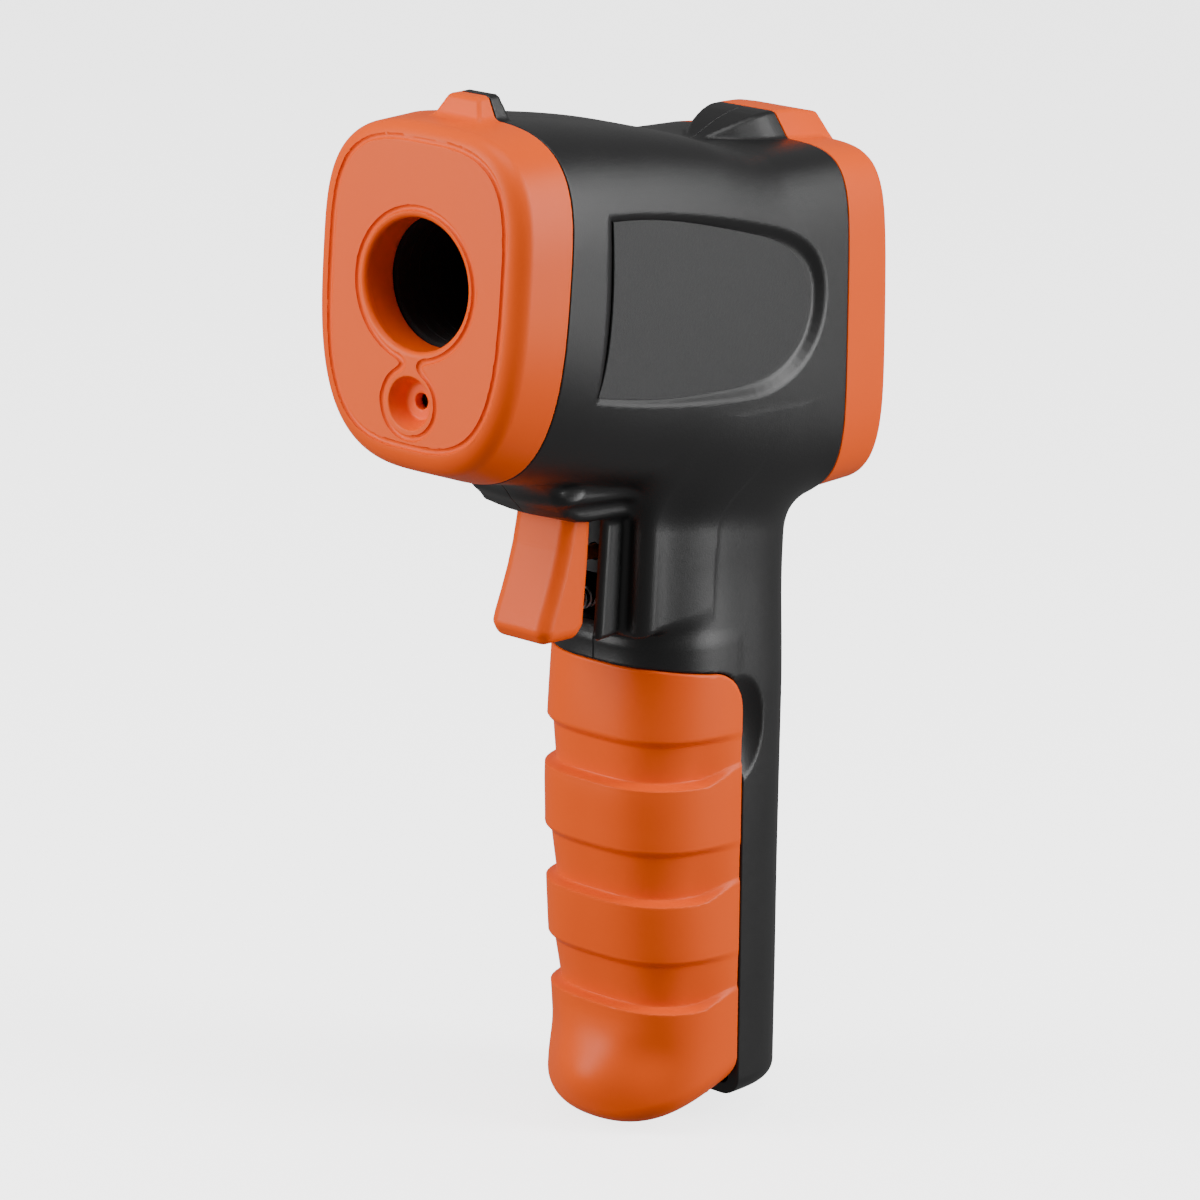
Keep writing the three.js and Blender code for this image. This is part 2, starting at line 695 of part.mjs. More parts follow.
// Sensor barrel, lens and thermopile, all turned on the lens axis
function turned(pointsRadiusAlong, sides = 40) {
  const points = pointsRadiusAlong.map(([r, y]) => new THREE.Vector2(r, y));
  return solid(new THREE.LatheGeometry(points, sides));
}

const BARREL_START = LENS_BORE_DEPTH + GAP;
const BARREL_R = LENS_BORE_R + SLEEVE_WALL - GAP;
const LENS_Y = BARREL_START + LENS_SETBACK;
const SENSOR_Y = BARREL_START + BARREL_LENGTH - SENSOR_LENGTH;

function sensorBarrel() {
  const inner = BARREL_R - BARREL_WALL;
  const end = BARREL_START + BARREL_LENGTH;
  const seatR = LENS_R + GAP;
  const profilePoints = [
    [inner, BARREL_START],
    [BARREL_R, BARREL_START],
    [BARREL_R, end],
    [SENSOR_R + GAP, end],
    [SENSOR_R + GAP, SENSOR_Y - GAP],
    [SENSOR_R - 1, SENSOR_Y - GAP],
    [seatR - 1.5, LENS_Y + LENS_THICKNESS + GAP],
    [seatR, LENS_Y + LENS_THICKNESS + GAP],
    [seatR, LENS_Y - GAP],
    [inner - 1, LENS_Y - 1],
    [inner, BARREL_START],
  ];
  return turned(profilePoints);
}

function infraredLens() {
  const flat = LENS_Y + LENS_THICKNESS;
  const dome = 0.9;
  const points = [[0, LENS_Y], [LENS_R * 0.5, LENS_Y + dome * 0.25], [LENS_R, LENS_Y + dome]];
  return turned([...points, [LENS_R, flat], [0, flat]], 32);
}

function thermopile() {
  const end = SENSOR_Y + SENSOR_LENGTH;
  return turned([[0, SENSOR_Y], [SENSOR_R - 0.5, SENSOR_Y], [SENSOR_R - 0.5, end - 1], [SENSOR_R, end - 1],
    [SENSOR_R, end], [0, end]], 24);
}

add('sensor_barrel', sensorBarrel(), BLACK);
add('infrared_lens', infraredLens(), GLASS);
add('thermopile_sensor', thermopile(), METAL);

// Laser pointer
const LASER_START = LASER_BORE_DEPTH + SLEEVE_WALL + GAP;

function laserModule() {
  const pocket = rodY(0, LASER_Z, LASER_LENS_R + GAP, LASER_START - 1, LASER_START + 2, 16);
  return rodY(0, LASER_Z, LASER_R, LASER_START, LASER_START + LASER_LENGTH).subtract(pocket);
}
add('laser_module', laserModule(), BRASS);
add('laser_lens', rodY(0, LASER_Z, LASER_LENS_R, LASER_START + 0.4, LASER_START + 1.6, 16), GLASS);

// Rear bezel, in the display frame
const FACE_CORNER = 2.5;
const REAR_DRAFT = 0.5;

function rearRing(along, inset) {
  const shape = headShape(REAR_SEAM_Y);
  return outline(shape, inset).map(([x, z]) => [x, along, z / Math.cos(REAR_TILT)]);
}

function displayEndOuter() {
  const full = REAR_DEPTH - FACE_CORNER;
  const steps = 3;
  const rings = [rearRing(GAP, 0), rearRing(full, REAR_DRAFT)];
  for (let i = 1; i <= steps; i += 1) {
    const angle = i * Math.PI / 2 / steps;
    rings.push(rearRing(full + FACE_CORNER * Math.sin(angle), REAR_DRAFT + FACE_CORNER * (1 - Math.cos(angle))));
  }
  return loft(rings);
}

const WINDOW_MARGIN = 2;
const WINDOW_Z = [DISPLAY_TOP - DISPLAY_HEIGHT - WINDOW_MARGIN, DISPLAY_TOP - WINDOW_MARGIN];
const FACE_Y = REAR_DEPTH;
const WINDOW_BACK = FACE_Y - WINDOW_THICKNESS - 0.6;
const LCD_BACK = WINDOW_BACK - GAP - 0.6;
const LCD_FRONT = LCD_BACK - DISPLAY_THICKNESS;
const DISPLAY_BOARD_Y = LCD_FRONT - GAP - BOARD_THICKNESS;
const BUTTON_PLACES = { up_button: -BUTTON_PITCH, mode_button: 0, down_button: BUTTON_PITCH };

function rearBezel() {
  const hollow = loft([rearRing(-1, WALL), rearRing(FACE_Y - WALL, WALL + REAR_DRAFT)]);
  const half = DISPLAY_HALF_WIDTH - WINDOW_MARGIN;
  const opening = box(-half, half, 0, far, WINDOW_Z[0] + WINDOW_MARGIN, WINDOW_Z[1] - WINDOW_MARGIN);
  const seat = box(-half - WINDOW_MARGIN, half + WINDOW_MARGIN, WINDOW_BACK - GAP, far, WINDOW_Z[0], WINDOW_Z[1]);
  let bezel = displayEndOuter().subtract(hollow).subtract(opening).subtract(seat);
  for (const x of Object.values(BUTTON_PLACES)) bezel = bezel.subtract(rodY(x, BUTTON_Z, BUTTON_R + GAP, 0, far));
  const crest = ridge().intersect(behindRearSeam(GAP)).transform(display.matrix.clone().invert().elements.slice());
  return bezel.add(crest.subtract(hollow));
}
add('rear_bezel', rearBezel(), ORANGE, display);

function plateBox(halfWidth, y0, y1, z0, z1) {
  return box(-halfWidth, halfWidth, y0, y1, z0, z1);
}

const WINDOW_HALF = DISPLAY_HALF_WIDTH - GAP;
add('display_window', plateBox(WINDOW_HALF, WINDOW_BACK, WINDOW_BACK + WINDOW_THICKNESS, WINDOW_Z[0] + GAP,
  WINDOW_Z[1] - GAP), GLASS, display);
add('display_module', plateBox(DISPLAY_HALF_WIDTH, LCD_FRONT, LCD_BACK, DISPLAY_TOP - DISPLAY_HEIGHT - 2,
  DISPLAY_TOP - 2), SCREEN, display);
add('display_board', plateBox(DISPLAY_HALF_WIDTH + 2, DISPLAY_BOARD_Y, DISPLAY_BOARD_Y + BOARD_THICKNESS,
  BUTTON_Z - BUTTON_R - 2, DISPLAY_TOP - 1), BOARD, display);

const FLANGE_BACK = FACE_Y - WALL - GAP;
const MAT_TOP = FLANGE_BACK - BUTTON_FLANGE - BUTTON_TRAVEL - GAP;

function keypadMat() {
  const base = DISPLAY_BOARD_Y + BOARD_THICKNESS + GAP;
  const sheet = plateBox(DISPLAY_HALF_WIDTH, base, base + 1, BUTTON_Z - BUTTON_R - 1, BUTTON_Z + BUTTON_R + 1);
  const domes = Object.values(BUTTON_PLACES).map((x) => rodY(x, BUTTON_Z, BUTTON_R - 1, base, MAT_TOP, 16));
  return join([sheet, ...domes]);
}
add('keypad_mat', keypadMat(), RUBBER, display);

function button(x) {
  const cap = rodY(x, BUTTON_Z, BUTTON_R, FLANGE_BACK - BUTTON_FLANGE, FACE_Y + BUTTON_PROUD - 0.5);
  const crown = rodY(x, BUTTON_Z, BUTTON_R, FACE_Y + BUTTON_PROUD - 0.5, FACE_Y + BUTTON_PROUD, 24, BUTTON_R - 0.5);
  const flange = rodY(x, BUTTON_Z, BUTTON_R + 0.9, FLANGE_BACK - BUTTON_FLANGE, FLANGE_BACK);
  return join([cap, crown, flange]);
}
for (const [name, x] of Object.entries(BUTTON_PLACES)) add(name, button(x), RUBBER, display);

// Main board with its parts
function mainBoard() {
  let board = box(BOARD_X - BOARD_THICKNESS, BOARD_X, BOARD_FRONT, BOARD_REAR, BOARD_BOTTOM, BOARD_TOP);
  for (const [y, z] of BOARD_SCREWS) board = board.subtract(rodX(y, z, SCREW_R + GAP, BOARD_X - 5, BOARD_X + 5));
  return board;
}
add('main_board', mainBoard(), BOARD);
const CHIP_X = BOARD_X + GAP;
add('controller_chip', box(CHIP_X, CHIP_X + 1.4, 52, 62, -4, 6), RUBBER);
add('buzzer', rodX(64, -16, 6, CHIP_X, CHIP_X + 5.5), RUBBER);
BOARD_SCREWS.forEach(([y, z], i) => {
  const screw = machineScrew(y, z, 0, BOARD_SCREW_LENGTH);
  const turnedRound = screw.mirror([1, 0, 0]).translate([BOARD_X + GAP + SCREW_HEAD_HEIGHT, 0, 0]);
  add(`board_screw_${i + 1}`, turnedRound, METAL);
});
BODY_SCREWS.forEach(([y, z], i) => {
  add(`body_screw_${i + 1}`, machineScrew(y, z, -SCREW_SEAT_X - GAP, SCREW_LENGTH - GAP), METAL);
});

// Trigger group
function trigger() {
  const rear = COLUMN_FRONT - 0.8;
  const nib = SWITCH_FRONT - PLUNGER_OUT - GAP;
  const shape = new THREE.Shape();
  shape.moveTo(TRIGGER_PIVOT_Y - TRIGGER_HUB_R + 0.5, TRIGGER_PIVOT_Z);
  shape.lineTo(TRIGGER_PIVOT_Y - 2.7, COLLAR_BOTTOM);
  shape.quadraticCurveTo(TRIGGER_PIVOT_Y - 3.2, TRIGGER_TIP_Z + 8, TRIGGER_PIVOT_Y - 6.8, TRIGGER_TIP_Z + 2);
  shape.quadraticCurveTo(TRIGGER_PIVOT_Y - 6.8, TRIGGER_TIP_Z, TRIGGER_PIVOT_Y - 4.8, TRIGGER_TIP_Z);
  shape.lineTo(rear - 1.5, TRIGGER_TIP_Z);
  shape.quadraticCurveTo(rear, TRIGGER_TIP_Z, rear, TRIGGER_TIP_Z + 2);
  shape.lineTo(rear, SWITCH_Z - 1.6);
  shape.lineTo(nib, SWITCH_Z - 1.6);
  shape.lineTo(nib, SWITCH_Z + 1.6);
  shape.lineTo(rear, SWITCH_Z + 1.6);
  shape.lineTo(TRIGGER_PIVOT_Y + TRIGGER_HUB_R - 0.5, TRIGGER_PIVOT_Z);
  const blade = plate(shape, -TRIGGER_HALF_WIDTH, TRIGGER_HALF_WIDTH, 8);
  const hub = rodX(TRIGGER_PIVOT_Y, TRIGGER_PIVOT_Z, TRIGGER_HUB_R, -TRIGGER_HALF_WIDTH, TRIGGER_HALF_WIDTH);
  const hole = rodX(TRIGGER_PIVOT_Y, TRIGGER_PIVOT_Z, TRIGGER_PIN_R + RUN, -far, far);
  return blade.add(hub).subtract(hole);
}
add('trigger', trigger(), ORANGE);
const PIN_HALF = COLLAR_HALF_WIDTH - 0.9;
add('trigger_pin', rodX(TRIGGER_PIVOT_Y, TRIGGER_PIVOT_Z, TRIGGER_PIN_R, -PIN_HALF, PIN_HALF), METAL);

function switchBody() {
  const [width, depth, height] = SWITCH_SIZE;
  const low = SWITCH_Z - SWITCH_DROP;
  const block = box(-width / 2, width / 2, SWITCH_FRONT, SWITCH_FRONT + depth, low, low + height);
  return block.subtract(rodY(0, SWITCH_Z, PLUNGER_R + GAP, SWITCH_FRONT - 1, SWITCH_FRONT + 4, 16));
}
add('switch_body', switchBody(), RUBBER);
add('switch_plunger', rodY(0, SWITCH_Z, PLUNGER_R, SWITCH_FRONT - PLUNGER_OUT, SWITCH_FRONT + 1.2, 16), ORANGE);

class Helix extends THREE.Curve {
  constructor(centre, radius, turns, length) {
    super();
    Object.assign(this, { centre, radius, turns, length });
  }

  getPoint(t, target = new THREE.Vector3()) {
    const angle = t * this.turns * 2 * Math.PI;
    return target.set(this.radius * Math.cos(angle), t * this.length, this.radius * Math.sin(angle))
      .add(this.centre);
  }
}

function coil(centre, radius, wireR, turns, length) {
  const section = new THREE.Shape();
  section.absarc(0, 0, wireR, 0, 2 * Math.PI);
  const path = new Helix(new THREE.Vector3(...centre), radius, turns, length);
  return new THREE.ExtrudeGeometry(section, { steps: turns * 10, extrudePath: path, curveSegments: 2 });
}
const SPRING_START = COLUMN_FRONT - 0.8 + GAP + SPRING_WIRE_R;
const SPRING_LENGTH = SWITCH_FRONT - GAP - SPRING_WIRE_R - SPRING_START;
add('trigger_spring', coil([0, SPRING_START, SPRING_Z], SPRING_R - SPRING_WIRE_R, SPRING_WIRE_R, SPRING_TURNS,
  SPRING_LENGTH), METAL);

// Batteries, tray and contacts

const LINK_HALF = BATTERY_CENTRE_X + BATTERY_R - 1;
const LINK_Z = TRAY_BOTTOM + TRAY_WALL + GAP;
const LINK_DEPTH = 3;

function batteryTray() {
  const block = box(-TRAY_HALF, TRAY_HALF, BATTERY_CENTRE_Y - 1, TRAY_BACK, TRAY_BOTTOM, TRAY_TOP);
  const low = TRAY_BOTTOM + TRAY_WALL;
  const high = TRAY_TOP - TRAY_WALL;
  const wells = [-1, 1].flatMap((side) => {
    const x = side * BATTERY_CENTRE_X;
    const r = BATTERY_R + GAP;
    return [rodZ(x, BATTERY_CENTRE_Y, r, low, high), box(x - r, x + r, 0, BATTERY_CENTRE_Y, low, high)];
  });
  const reach = LINK_DEPTH + GAP;
  const linkWay = box(-LINK_HALF, LINK_HALF, BATTERY_CENTRE_Y - reach, BATTERY_CENTRE_Y + reach, low,
    LINK_Z + CONTACT_THICKNESS + GAP);
  return block.subtract(join(wells)).subtract(linkWay);
}
add('battery_tray', batteryTray(), BLACK);

function battery(x, up) {
  const can = rodZ(x, BATTERY_CENTRE_Y, BATTERY_R, BATTERY_BOTTOM + NIPPLE_HEIGHT, BATTERY_TOP - NIPPLE_HEIGHT);
  const nippleZ = up ? [BATTERY_TOP - NIPPLE_HEIGHT - 1, BATTERY_TOP] : [BATTERY_BOTTOM, BATTERY_BOTTOM + 2];
  return can.add(rodZ(x, BATTERY_CENTRE_Y, NIPPLE_R, nippleZ[0], nippleZ[1], 16));
}
add('battery_left', battery(BATTERY_CENTRE_X, false), CELL);
add('battery_right', battery(-BATTERY_CENTRE_X, true), CELL);

const CONTACT_TOP = BATTERY_TOP + CONTACT_SPRING_ROOM - GAP;

function topContact(side) {
  const x = side * BATTERY_CENTRE_X;
  const half = BATTERY_R - 1.5;
  return box(x - half, x + half, BATTERY_CENTRE_Y - 3.5, BATTERY_CENTRE_Y + 3.5, CONTACT_TOP - CONTACT_THICKNESS,
    CONTACT_TOP);
}

function contactSpring(x, z, length) {
  const geometry = coil([0, 0, 0], 2.6, 0.35, 3, length);
  geometry.rotateX(Math.PI / 2);
  geometry.translate(x, BATTERY_CENTRE_Y, z);
  return geometry;
}
add('contact_plate_left', topContact(1), METAL);
add('contact_plate_right', topContact(-1), METAL);
const TOP_SPRING_Z = BATTERY_TOP + 0.1;
add('contact_spring_left', contactSpring(BATTERY_CENTRE_X, TOP_SPRING_Z, 2.4), METAL);
const LINK_END = LINK_HALF - GAP;
add('contact_link', box(-LINK_END, LINK_END, BATTERY_CENTRE_Y - LINK_DEPTH, BATTERY_CENTRE_Y + LINK_DEPTH, LINK_Z,
  LINK_Z + CONTACT_THICKNESS), METAL);

// Battery leads, from the tray up to the board
function lead(name, x, look) {
  const points = [
    new THREE.Vector3(x, DOOR_SEAM_TOP_Y + 2.4, TRAY_TOP + 1),
    new THREE.Vector3(x, DOOR_SEAM_TOP_Y + 3.2, DOOR_TOP + 1),
    new THREE.Vector3(x, DOOR_SEAM_TOP_Y - 2, DOOR_TOP + 15),
    new THREE.Vector3(x - 1, GRIP_MID_Y - 9, -38),
    new THREE.Vector3(x - 2, GRIP_MID_Y - 11, -24),
  ];
  const section = new THREE.Shape();
  section.absarc(0, 0, 0.6, 0, 2 * Math.PI);
  const path = new THREE.CatmullRomCurve3(points);
  add(name, new THREE.ExtrudeGeometry(section, { steps: 14, extrudePath: path, curveSegments: 3 }), look);
}
lead('battery_lead_positive', -4.6, WIRE_RED);
lead('battery_lead_negative', -6.4, WIRE_BLACK);

add('battery_door', batteryDoor(), ORANGE);
add('label_left', label(1), LABEL);
add('label_right', label(-1), LABEL);

// The origin lies under the middle of the whole, at the height of its lowest point
part.updateMatrixWorld(true);
const bounds = new THREE.Box3().setFromObject(part, true);
part.position.set(0, -(bounds.min.y + bounds.max.y) / 2, -bounds.min.z);

export default part;
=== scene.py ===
"""Looks of a pistol-type infrared thermometer: body, bezels, trigger, grip door and what they hold."""
import json
import math
import bmesh
import bpy
import numpy as np
from mathutils import Matrix, Vector


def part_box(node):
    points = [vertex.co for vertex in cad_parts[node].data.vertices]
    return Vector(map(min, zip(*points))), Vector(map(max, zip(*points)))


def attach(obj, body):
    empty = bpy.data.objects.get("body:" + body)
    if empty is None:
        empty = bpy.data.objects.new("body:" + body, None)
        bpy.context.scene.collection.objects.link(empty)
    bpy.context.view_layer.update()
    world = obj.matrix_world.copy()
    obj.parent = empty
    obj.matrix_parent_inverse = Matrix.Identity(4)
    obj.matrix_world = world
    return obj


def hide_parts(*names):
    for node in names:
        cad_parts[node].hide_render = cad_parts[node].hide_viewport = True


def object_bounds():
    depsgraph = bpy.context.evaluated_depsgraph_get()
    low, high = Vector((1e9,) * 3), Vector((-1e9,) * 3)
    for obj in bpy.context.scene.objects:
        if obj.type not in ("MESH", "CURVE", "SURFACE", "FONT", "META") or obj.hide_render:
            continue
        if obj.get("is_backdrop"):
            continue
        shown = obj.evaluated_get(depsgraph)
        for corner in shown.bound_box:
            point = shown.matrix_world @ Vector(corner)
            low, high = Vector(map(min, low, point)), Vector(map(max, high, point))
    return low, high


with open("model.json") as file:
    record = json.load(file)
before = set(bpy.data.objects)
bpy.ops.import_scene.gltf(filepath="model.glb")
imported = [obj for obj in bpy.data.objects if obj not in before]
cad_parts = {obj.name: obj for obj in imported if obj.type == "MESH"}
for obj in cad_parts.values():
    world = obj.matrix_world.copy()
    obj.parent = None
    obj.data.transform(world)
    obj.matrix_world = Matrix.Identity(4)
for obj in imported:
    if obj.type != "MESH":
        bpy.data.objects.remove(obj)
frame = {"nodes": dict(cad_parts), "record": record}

CAD_BOX = [list(corner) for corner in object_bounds()]
MM = 0.001

# The shapes below are worked out in millimetres from the lens axis at the front face
LENS_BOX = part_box("infrared_lens")
ORIGIN = np.array([0.0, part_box("front_bezel")[0][1], (LENS_BOX[0][2] + LENS_BOX[1][2]) / 2])


def cad(node):
    """Lowest and highest corner of a CAD node, in millimetres from the lens axis."""
    low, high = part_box(node)
    return (np.array(low) - ORIGIN) / MM, (np.array(high) - ORIGIN) / MM


def to_row(points):
    return np.asarray(points, dtype=float) * MM + ORIGIN


# ---------------------------------------------------------------- camera
CAMERA_AZIMUTH = math.radians(38.58)
CAMERA_ELEVATION = math.radians(13.93)
CAMERA_ROLL = math.radians(3.66)
CAMERA_LENS = 150.0
CAMERA_SHIFT = (-28.14, 47.89, 760.72)


def add_camera():
    a, e, roll = CAMERA_AZIMUTH, CAMERA_ELEVATION, CAMERA_ROLL
    level = np.array([math.cos(a), math.sin(a), 0.0])
    ahead = np.array([-math.sin(a) * math.cos(e), math.cos(a) * math.cos(e), -math.sin(e)])
    upright = np.cross(level, ahead)
    right = level * math.cos(roll) + upright * math.sin(roll)
    up = -level * math.sin(roll) + upright * math.cos(roll)
    across, rise, away = CAMERA_SHIFT
    place = to_row(-(right * across + up * rise + ahead * away))
    camera = bpy.data.objects.new("camera", bpy.data.cameras.new("camera"))
    camera.data.lens = CAMERA_LENS
    camera.data.clip_start = 0.01
    camera.matrix_world = Matrix((
        (right[0], up[0], -ahead[0], place[0]),
        (right[1], up[1], -ahead[1], place[1]),
        (right[2], up[2], -ahead[2], place[2]),
        (0, 0, 0, 1),
    ))
    bpy.context.scene.collection.objects.link(camera)
    bpy.context.scene.camera = camera


add_camera()

# ---------------------------------------------------------------- fields
# A field is negative inside a shape and close to a true distance near its surface.
def smooth_min(a, b, k):
    h = np.clip(0.5 + 0.5 * (b - a) / k, 0, 1)
    return b * (1 - h) + a * h - k * h * (1 - h)


def round_max(a, b, r):
    """The overlap of two shapes, its outer edge rounded to a radius r."""
    return np.minimum(np.maximum(a, b), -r) + np.hypot(np.maximum(a + r, 0), np.maximum(b + r, 0))


def mix(a, b, t):
    return a + (b - a) * t


def step(low, high, value):
    t = np.clip((value - low) / (high - low), 0, 1)
    return t * t * (3 - 2 * t)


def eased(value, knots, heights):
    """A smooth curve through the heights, flat where it turns round."""
    knots, heights = np.asarray(knots, dtype=float), np.asarray(heights, dtype=float)
    rise = np.diff(heights) / np.diff(knots)
    inner = np.where(rise[1:] * rise[:-1] > 0, 2 * rise[1:] * rise[:-1] / (rise[1:] + rise[:-1] + 1e-12), 0)
    slope = np.concatenate([rise[:1], inner, rise[-1:]])
    value = np.clip(value, knots[0], knots[-1])
    i = np.clip(np.searchsorted(knots, value, side="right") - 1, 0, len(knots) - 2)
    gap = knots[i + 1] - knots[i]
    t = (value - knots[i]) / gap
    return (heights[i] * (1 + 2 * t) * (1 - t) ** 2 + slope[i] * gap * t * (1 - t) ** 2
            + heights[i + 1] * t * t * (3 - 2 * t) - slope[i + 1] * gap * t * t * (1 - t))


def oval(u, v, half, high, low, centre, high_power, low_power):
    """A superellipse with its own reach and squareness on either side of its centre line."""
    above = v >= centre
    power = np.where(above, high_power, low_power)
    reach = np.where(above, high - centre, centre - low)
    s = np.abs(u) / half + 1e-9
    t = np.abs(v - centre) / reach + 1e-9
    rho = (s ** power + t ** power) ** (1 / power)
    slope = np.hypot((s / rho) ** (power - 1) / half, (t / rho) ** (power - 1) / reach)
    return (rho - 1) / slope


def bend(start, lead, trail, end, steps=13):
    """Points along a curve that leaves its start towards one handle and comes to its end from the other."""
    t = np.arange(steps)[:, None] / steps
    start, lead, trail, end = (np.array(point, dtype=float) for point in (start, lead, trail, end))
    return start * (1 - t) ** 3 + 3 * lead * t * (1 - t) ** 2 + 3 * trail * t * t * (1 - t) + end * t ** 3


def polygon(u, v, points):
    """Signed distance to a polygon in a plane."""
    p = np.asarray(points, dtype=float)
    q = np.roll(p, -1, 0)
    near = np.full(np.broadcast(u, v).shape, np.inf)
    inside = np.zeros(near.shape, dtype=bool)
    for (u0, v0), (u1, v1) in zip(p, q):
        du, dv = u1 - u0, v1 - v0
        t = np.clip(((u - u0) * du + (v - v0) * dv) / (du * du + dv * dv), 0, 1)
        near = np.minimum(near, (u - u0 - t * du) ** 2 + (v - v0 - t * dv) ** 2)
        if v0 != v1:
            crosses = (v0 > v) != (v1 > v)
            inside ^= crosses & (u < du * (v - v0) / dv + u0)
    return np.where(inside, -1, 1) * np.sqrt(near)


# ---------------------------------------------------------------- surface of a field
def contour(name, field, xs, ys, zs, warp=None):
    """A closed mesh of the surface where the field is zero, its corners on the shape's own edges."""
    xs, ys, zs = (np.asarray(axis, dtype=float) for axis in (xs, ys, zs))
    grid_y = np.repeat(ys[:, None], len(zs), 1) if warp is None else warp(ys[:, None], zs[None, :])
    value = np.broadcast_to(field(xs[:, None, None], grid_y[None], zs[None, None, :]),
                            (len(xs), len(ys), len(zs)))
    inside = value < 0
    shape = np.array(value.shape)

    def corner(i, j, k):
        return np.stack([xs[i], grid_y[j, k], zs[k]], 1)

    points, owners, quads = [], [], []
    cells = shape - 1
    for axis in range(3):
        low = [slice(None)] * 3
        high = [slice(None)] * 3
        low[axis] = slice(0, -1)
        high[axis] = slice(1, None)
        first, second = inside[tuple(low)], inside[tuple(high)]
        at = np.stack(np.nonzero(first != second), 1)
        other = at.copy()
        other[:, axis] += 1
        f0, f1 = value[tuple(at.T)], value[tuple(other.T)]
        t = (f0 / (f0 - f1))[:, None]
        points.append(corner(*at.T) * (1 - t) + corner(*other.T) * t)
        u, v = (axis + 1) % 3, (axis + 2) % 3
        around = []
        for du, dv in ((0, 0), (-1, 0), (-1, -1), (0, -1)):
            cell = at.copy()
            cell[:, u] += du
            cell[:, v] += dv
            around.append(np.ravel_multi_index(tuple(cell.T), tuple(cells)))
        around = np.stack(around, 1)
        owners.append(around)
        turn = first[tuple(at.T)]
        quads.append(np.where(turn[:, None], around, around[:, ::-1]))
    points = np.concatenate(points)
    owners = np.concatenate(owners)
    quads = np.concatenate(quads)
    points, normals = settle(field, points, 2)
    used, compact = np.unique(owners, return_inverse=True)
    compact = compact.reshape(owners.shape)
    count = len(used)
    index = compact.ravel()
    p = np.repeat(points, 4, 0)
    n = np.repeat(normals, 4, 0)
    total = np.bincount(index, minlength=count)
    mean = np.stack([np.bincount(index, p[:, a], count) for a in range(3)], 1) / total[:, None]
    offset = np.einsum("ij,ij->i", n, p - mean[index])
    pull = np.stack([np.bincount(index, n[:, a] * offset, count) for a in range(3)], 1)
    square = np.zeros((count, 3, 3))
    for a in range(3):
        for b in range(a, 3):
            square[:, a, b] = square[:, b, a] = np.bincount(index, n[:, a] * n[:, b], count)
    values, vectors = np.linalg.eigh(square)
    keep = values > 0.06 * values[:, 2:3]
    inverse = np.where(keep, 1 / np.where(keep, values, 1), 0)
    along = np.einsum("nij,ni->nj", vectors, pull) * inverse
    spots = mean + np.einsum("nij,nj->ni", vectors, along)
    i, j, k = np.unravel_index(used, tuple(cells))
    slack = 0.02
    lowest = np.stack([xs[i], np.minimum(grid_y[j, k], grid_y[j, k + 1]), zs[k]], 1) - slack
    rear = np.maximum(grid_y[j + 1, k], grid_y[j + 1, k + 1])
    highest = np.stack([xs[i + 1], rear, zs[k + 1]], 1) + slack
    spots = np.clip(spots, lowest, highest)
    lookup = np.zeros(int(np.prod(cells)), dtype=np.int64)
    lookup[used] = np.arange(count)
    faces = lookup[quads]
    piece = make_mesh(name, spots, faces)
    middles = spots[faces].mean(1, keepdims=True)
    near = (spots[faces] * CORNER_SHARE + middles * (1 - CORNER_SHARE)).reshape(-1, 3)
    directions = gradient(field, near)
    length = np.linalg.norm(directions, axis=1, keepdims=True)
    directions = directions / np.maximum(length, 1e-9)
    piece.data.normals_split_custom_set(directions.tolist())
    return piece


def settle(field, points, rounds):
    """Moves points onto the field's surface, and gives the surface's directions there."""
    for _ in range(rounds):
        slope = gradient(field, points)
        size = np.maximum(np.linalg.norm(slope, axis=1, keepdims=True), 0.2)
        gap = field(*points.T)[:, None]
        points = points - np.clip(gap / size, -0.3, 0.3) * slope / size
    slope = gradient(field, points)
    return points, slope / np.maximum(np.linalg.norm(slope, axis=1, keepdims=True), 0.2)


def gradient(field, points):
    """The field's rate of change at each point."""
    small = 2e-3
    x, y, z = points.T
    return np.stack([
        field(x + small, y, z) - field(x - small, y, z),
        field(x, y + small, z) - field(x, y - small, z),
        field(x, y, z + small) - field(x, y, z - small),
    ], 1) / (2 * small)


SHARP = math.radians(32)
CORNER_SHARE = 0.7


def within(points):
    """Keeps points inside the CAD model's own box."""
    slack = 1e-6
    return np.clip(points, np.array(CAD_BOX[0]) + slack, np.array(CAD_BOX[1]) - slack)


def make_mesh(name, points, faces, sharp=SHARP):
    mesh = bpy.data.meshes.new(name)
    points = within(to_row(points))
    sides = faces.shape[1]
    mesh.vertices.add(len(points))
    mesh.vertices.foreach_set("co", points.ravel())
    mesh.loops.add(faces.size)
    mesh.loops.foreach_set("vertex_index", faces.ravel().astype(np.int32))
    mesh.polygons.add(len(faces))
    mesh.polygons.foreach_set("loop_start", np.arange(0, faces.size, sides, dtype=np.int32))
    mesh.update(calc_edges=True)
    mesh.validate()
    mesh.shade_smooth()
    mesh.set_sharp_from_angle(angle=sharp)
    piece = bpy.data.objects.new(name, mesh)
    bpy.context.scene.collection.objects.link(piece)
    return piece


def axis_points(start, stop, spacing, fine=(), fine_spacing=0.16, reach=0.6):
    """Grid places along an axis, closer together round the fine ones."""
    spots = [start]
    while spots[-1] < stop:
        near = min((abs(spots[-1] - f) for f in fine), default=1e9)
        if near <= reach:
            gap = fine_spacing
        else:
            gap = min(spacing, fine_spacing + (near - reach) * 0.35)
        spots.append(spots[-1] + gap)
    return np.array(spots)


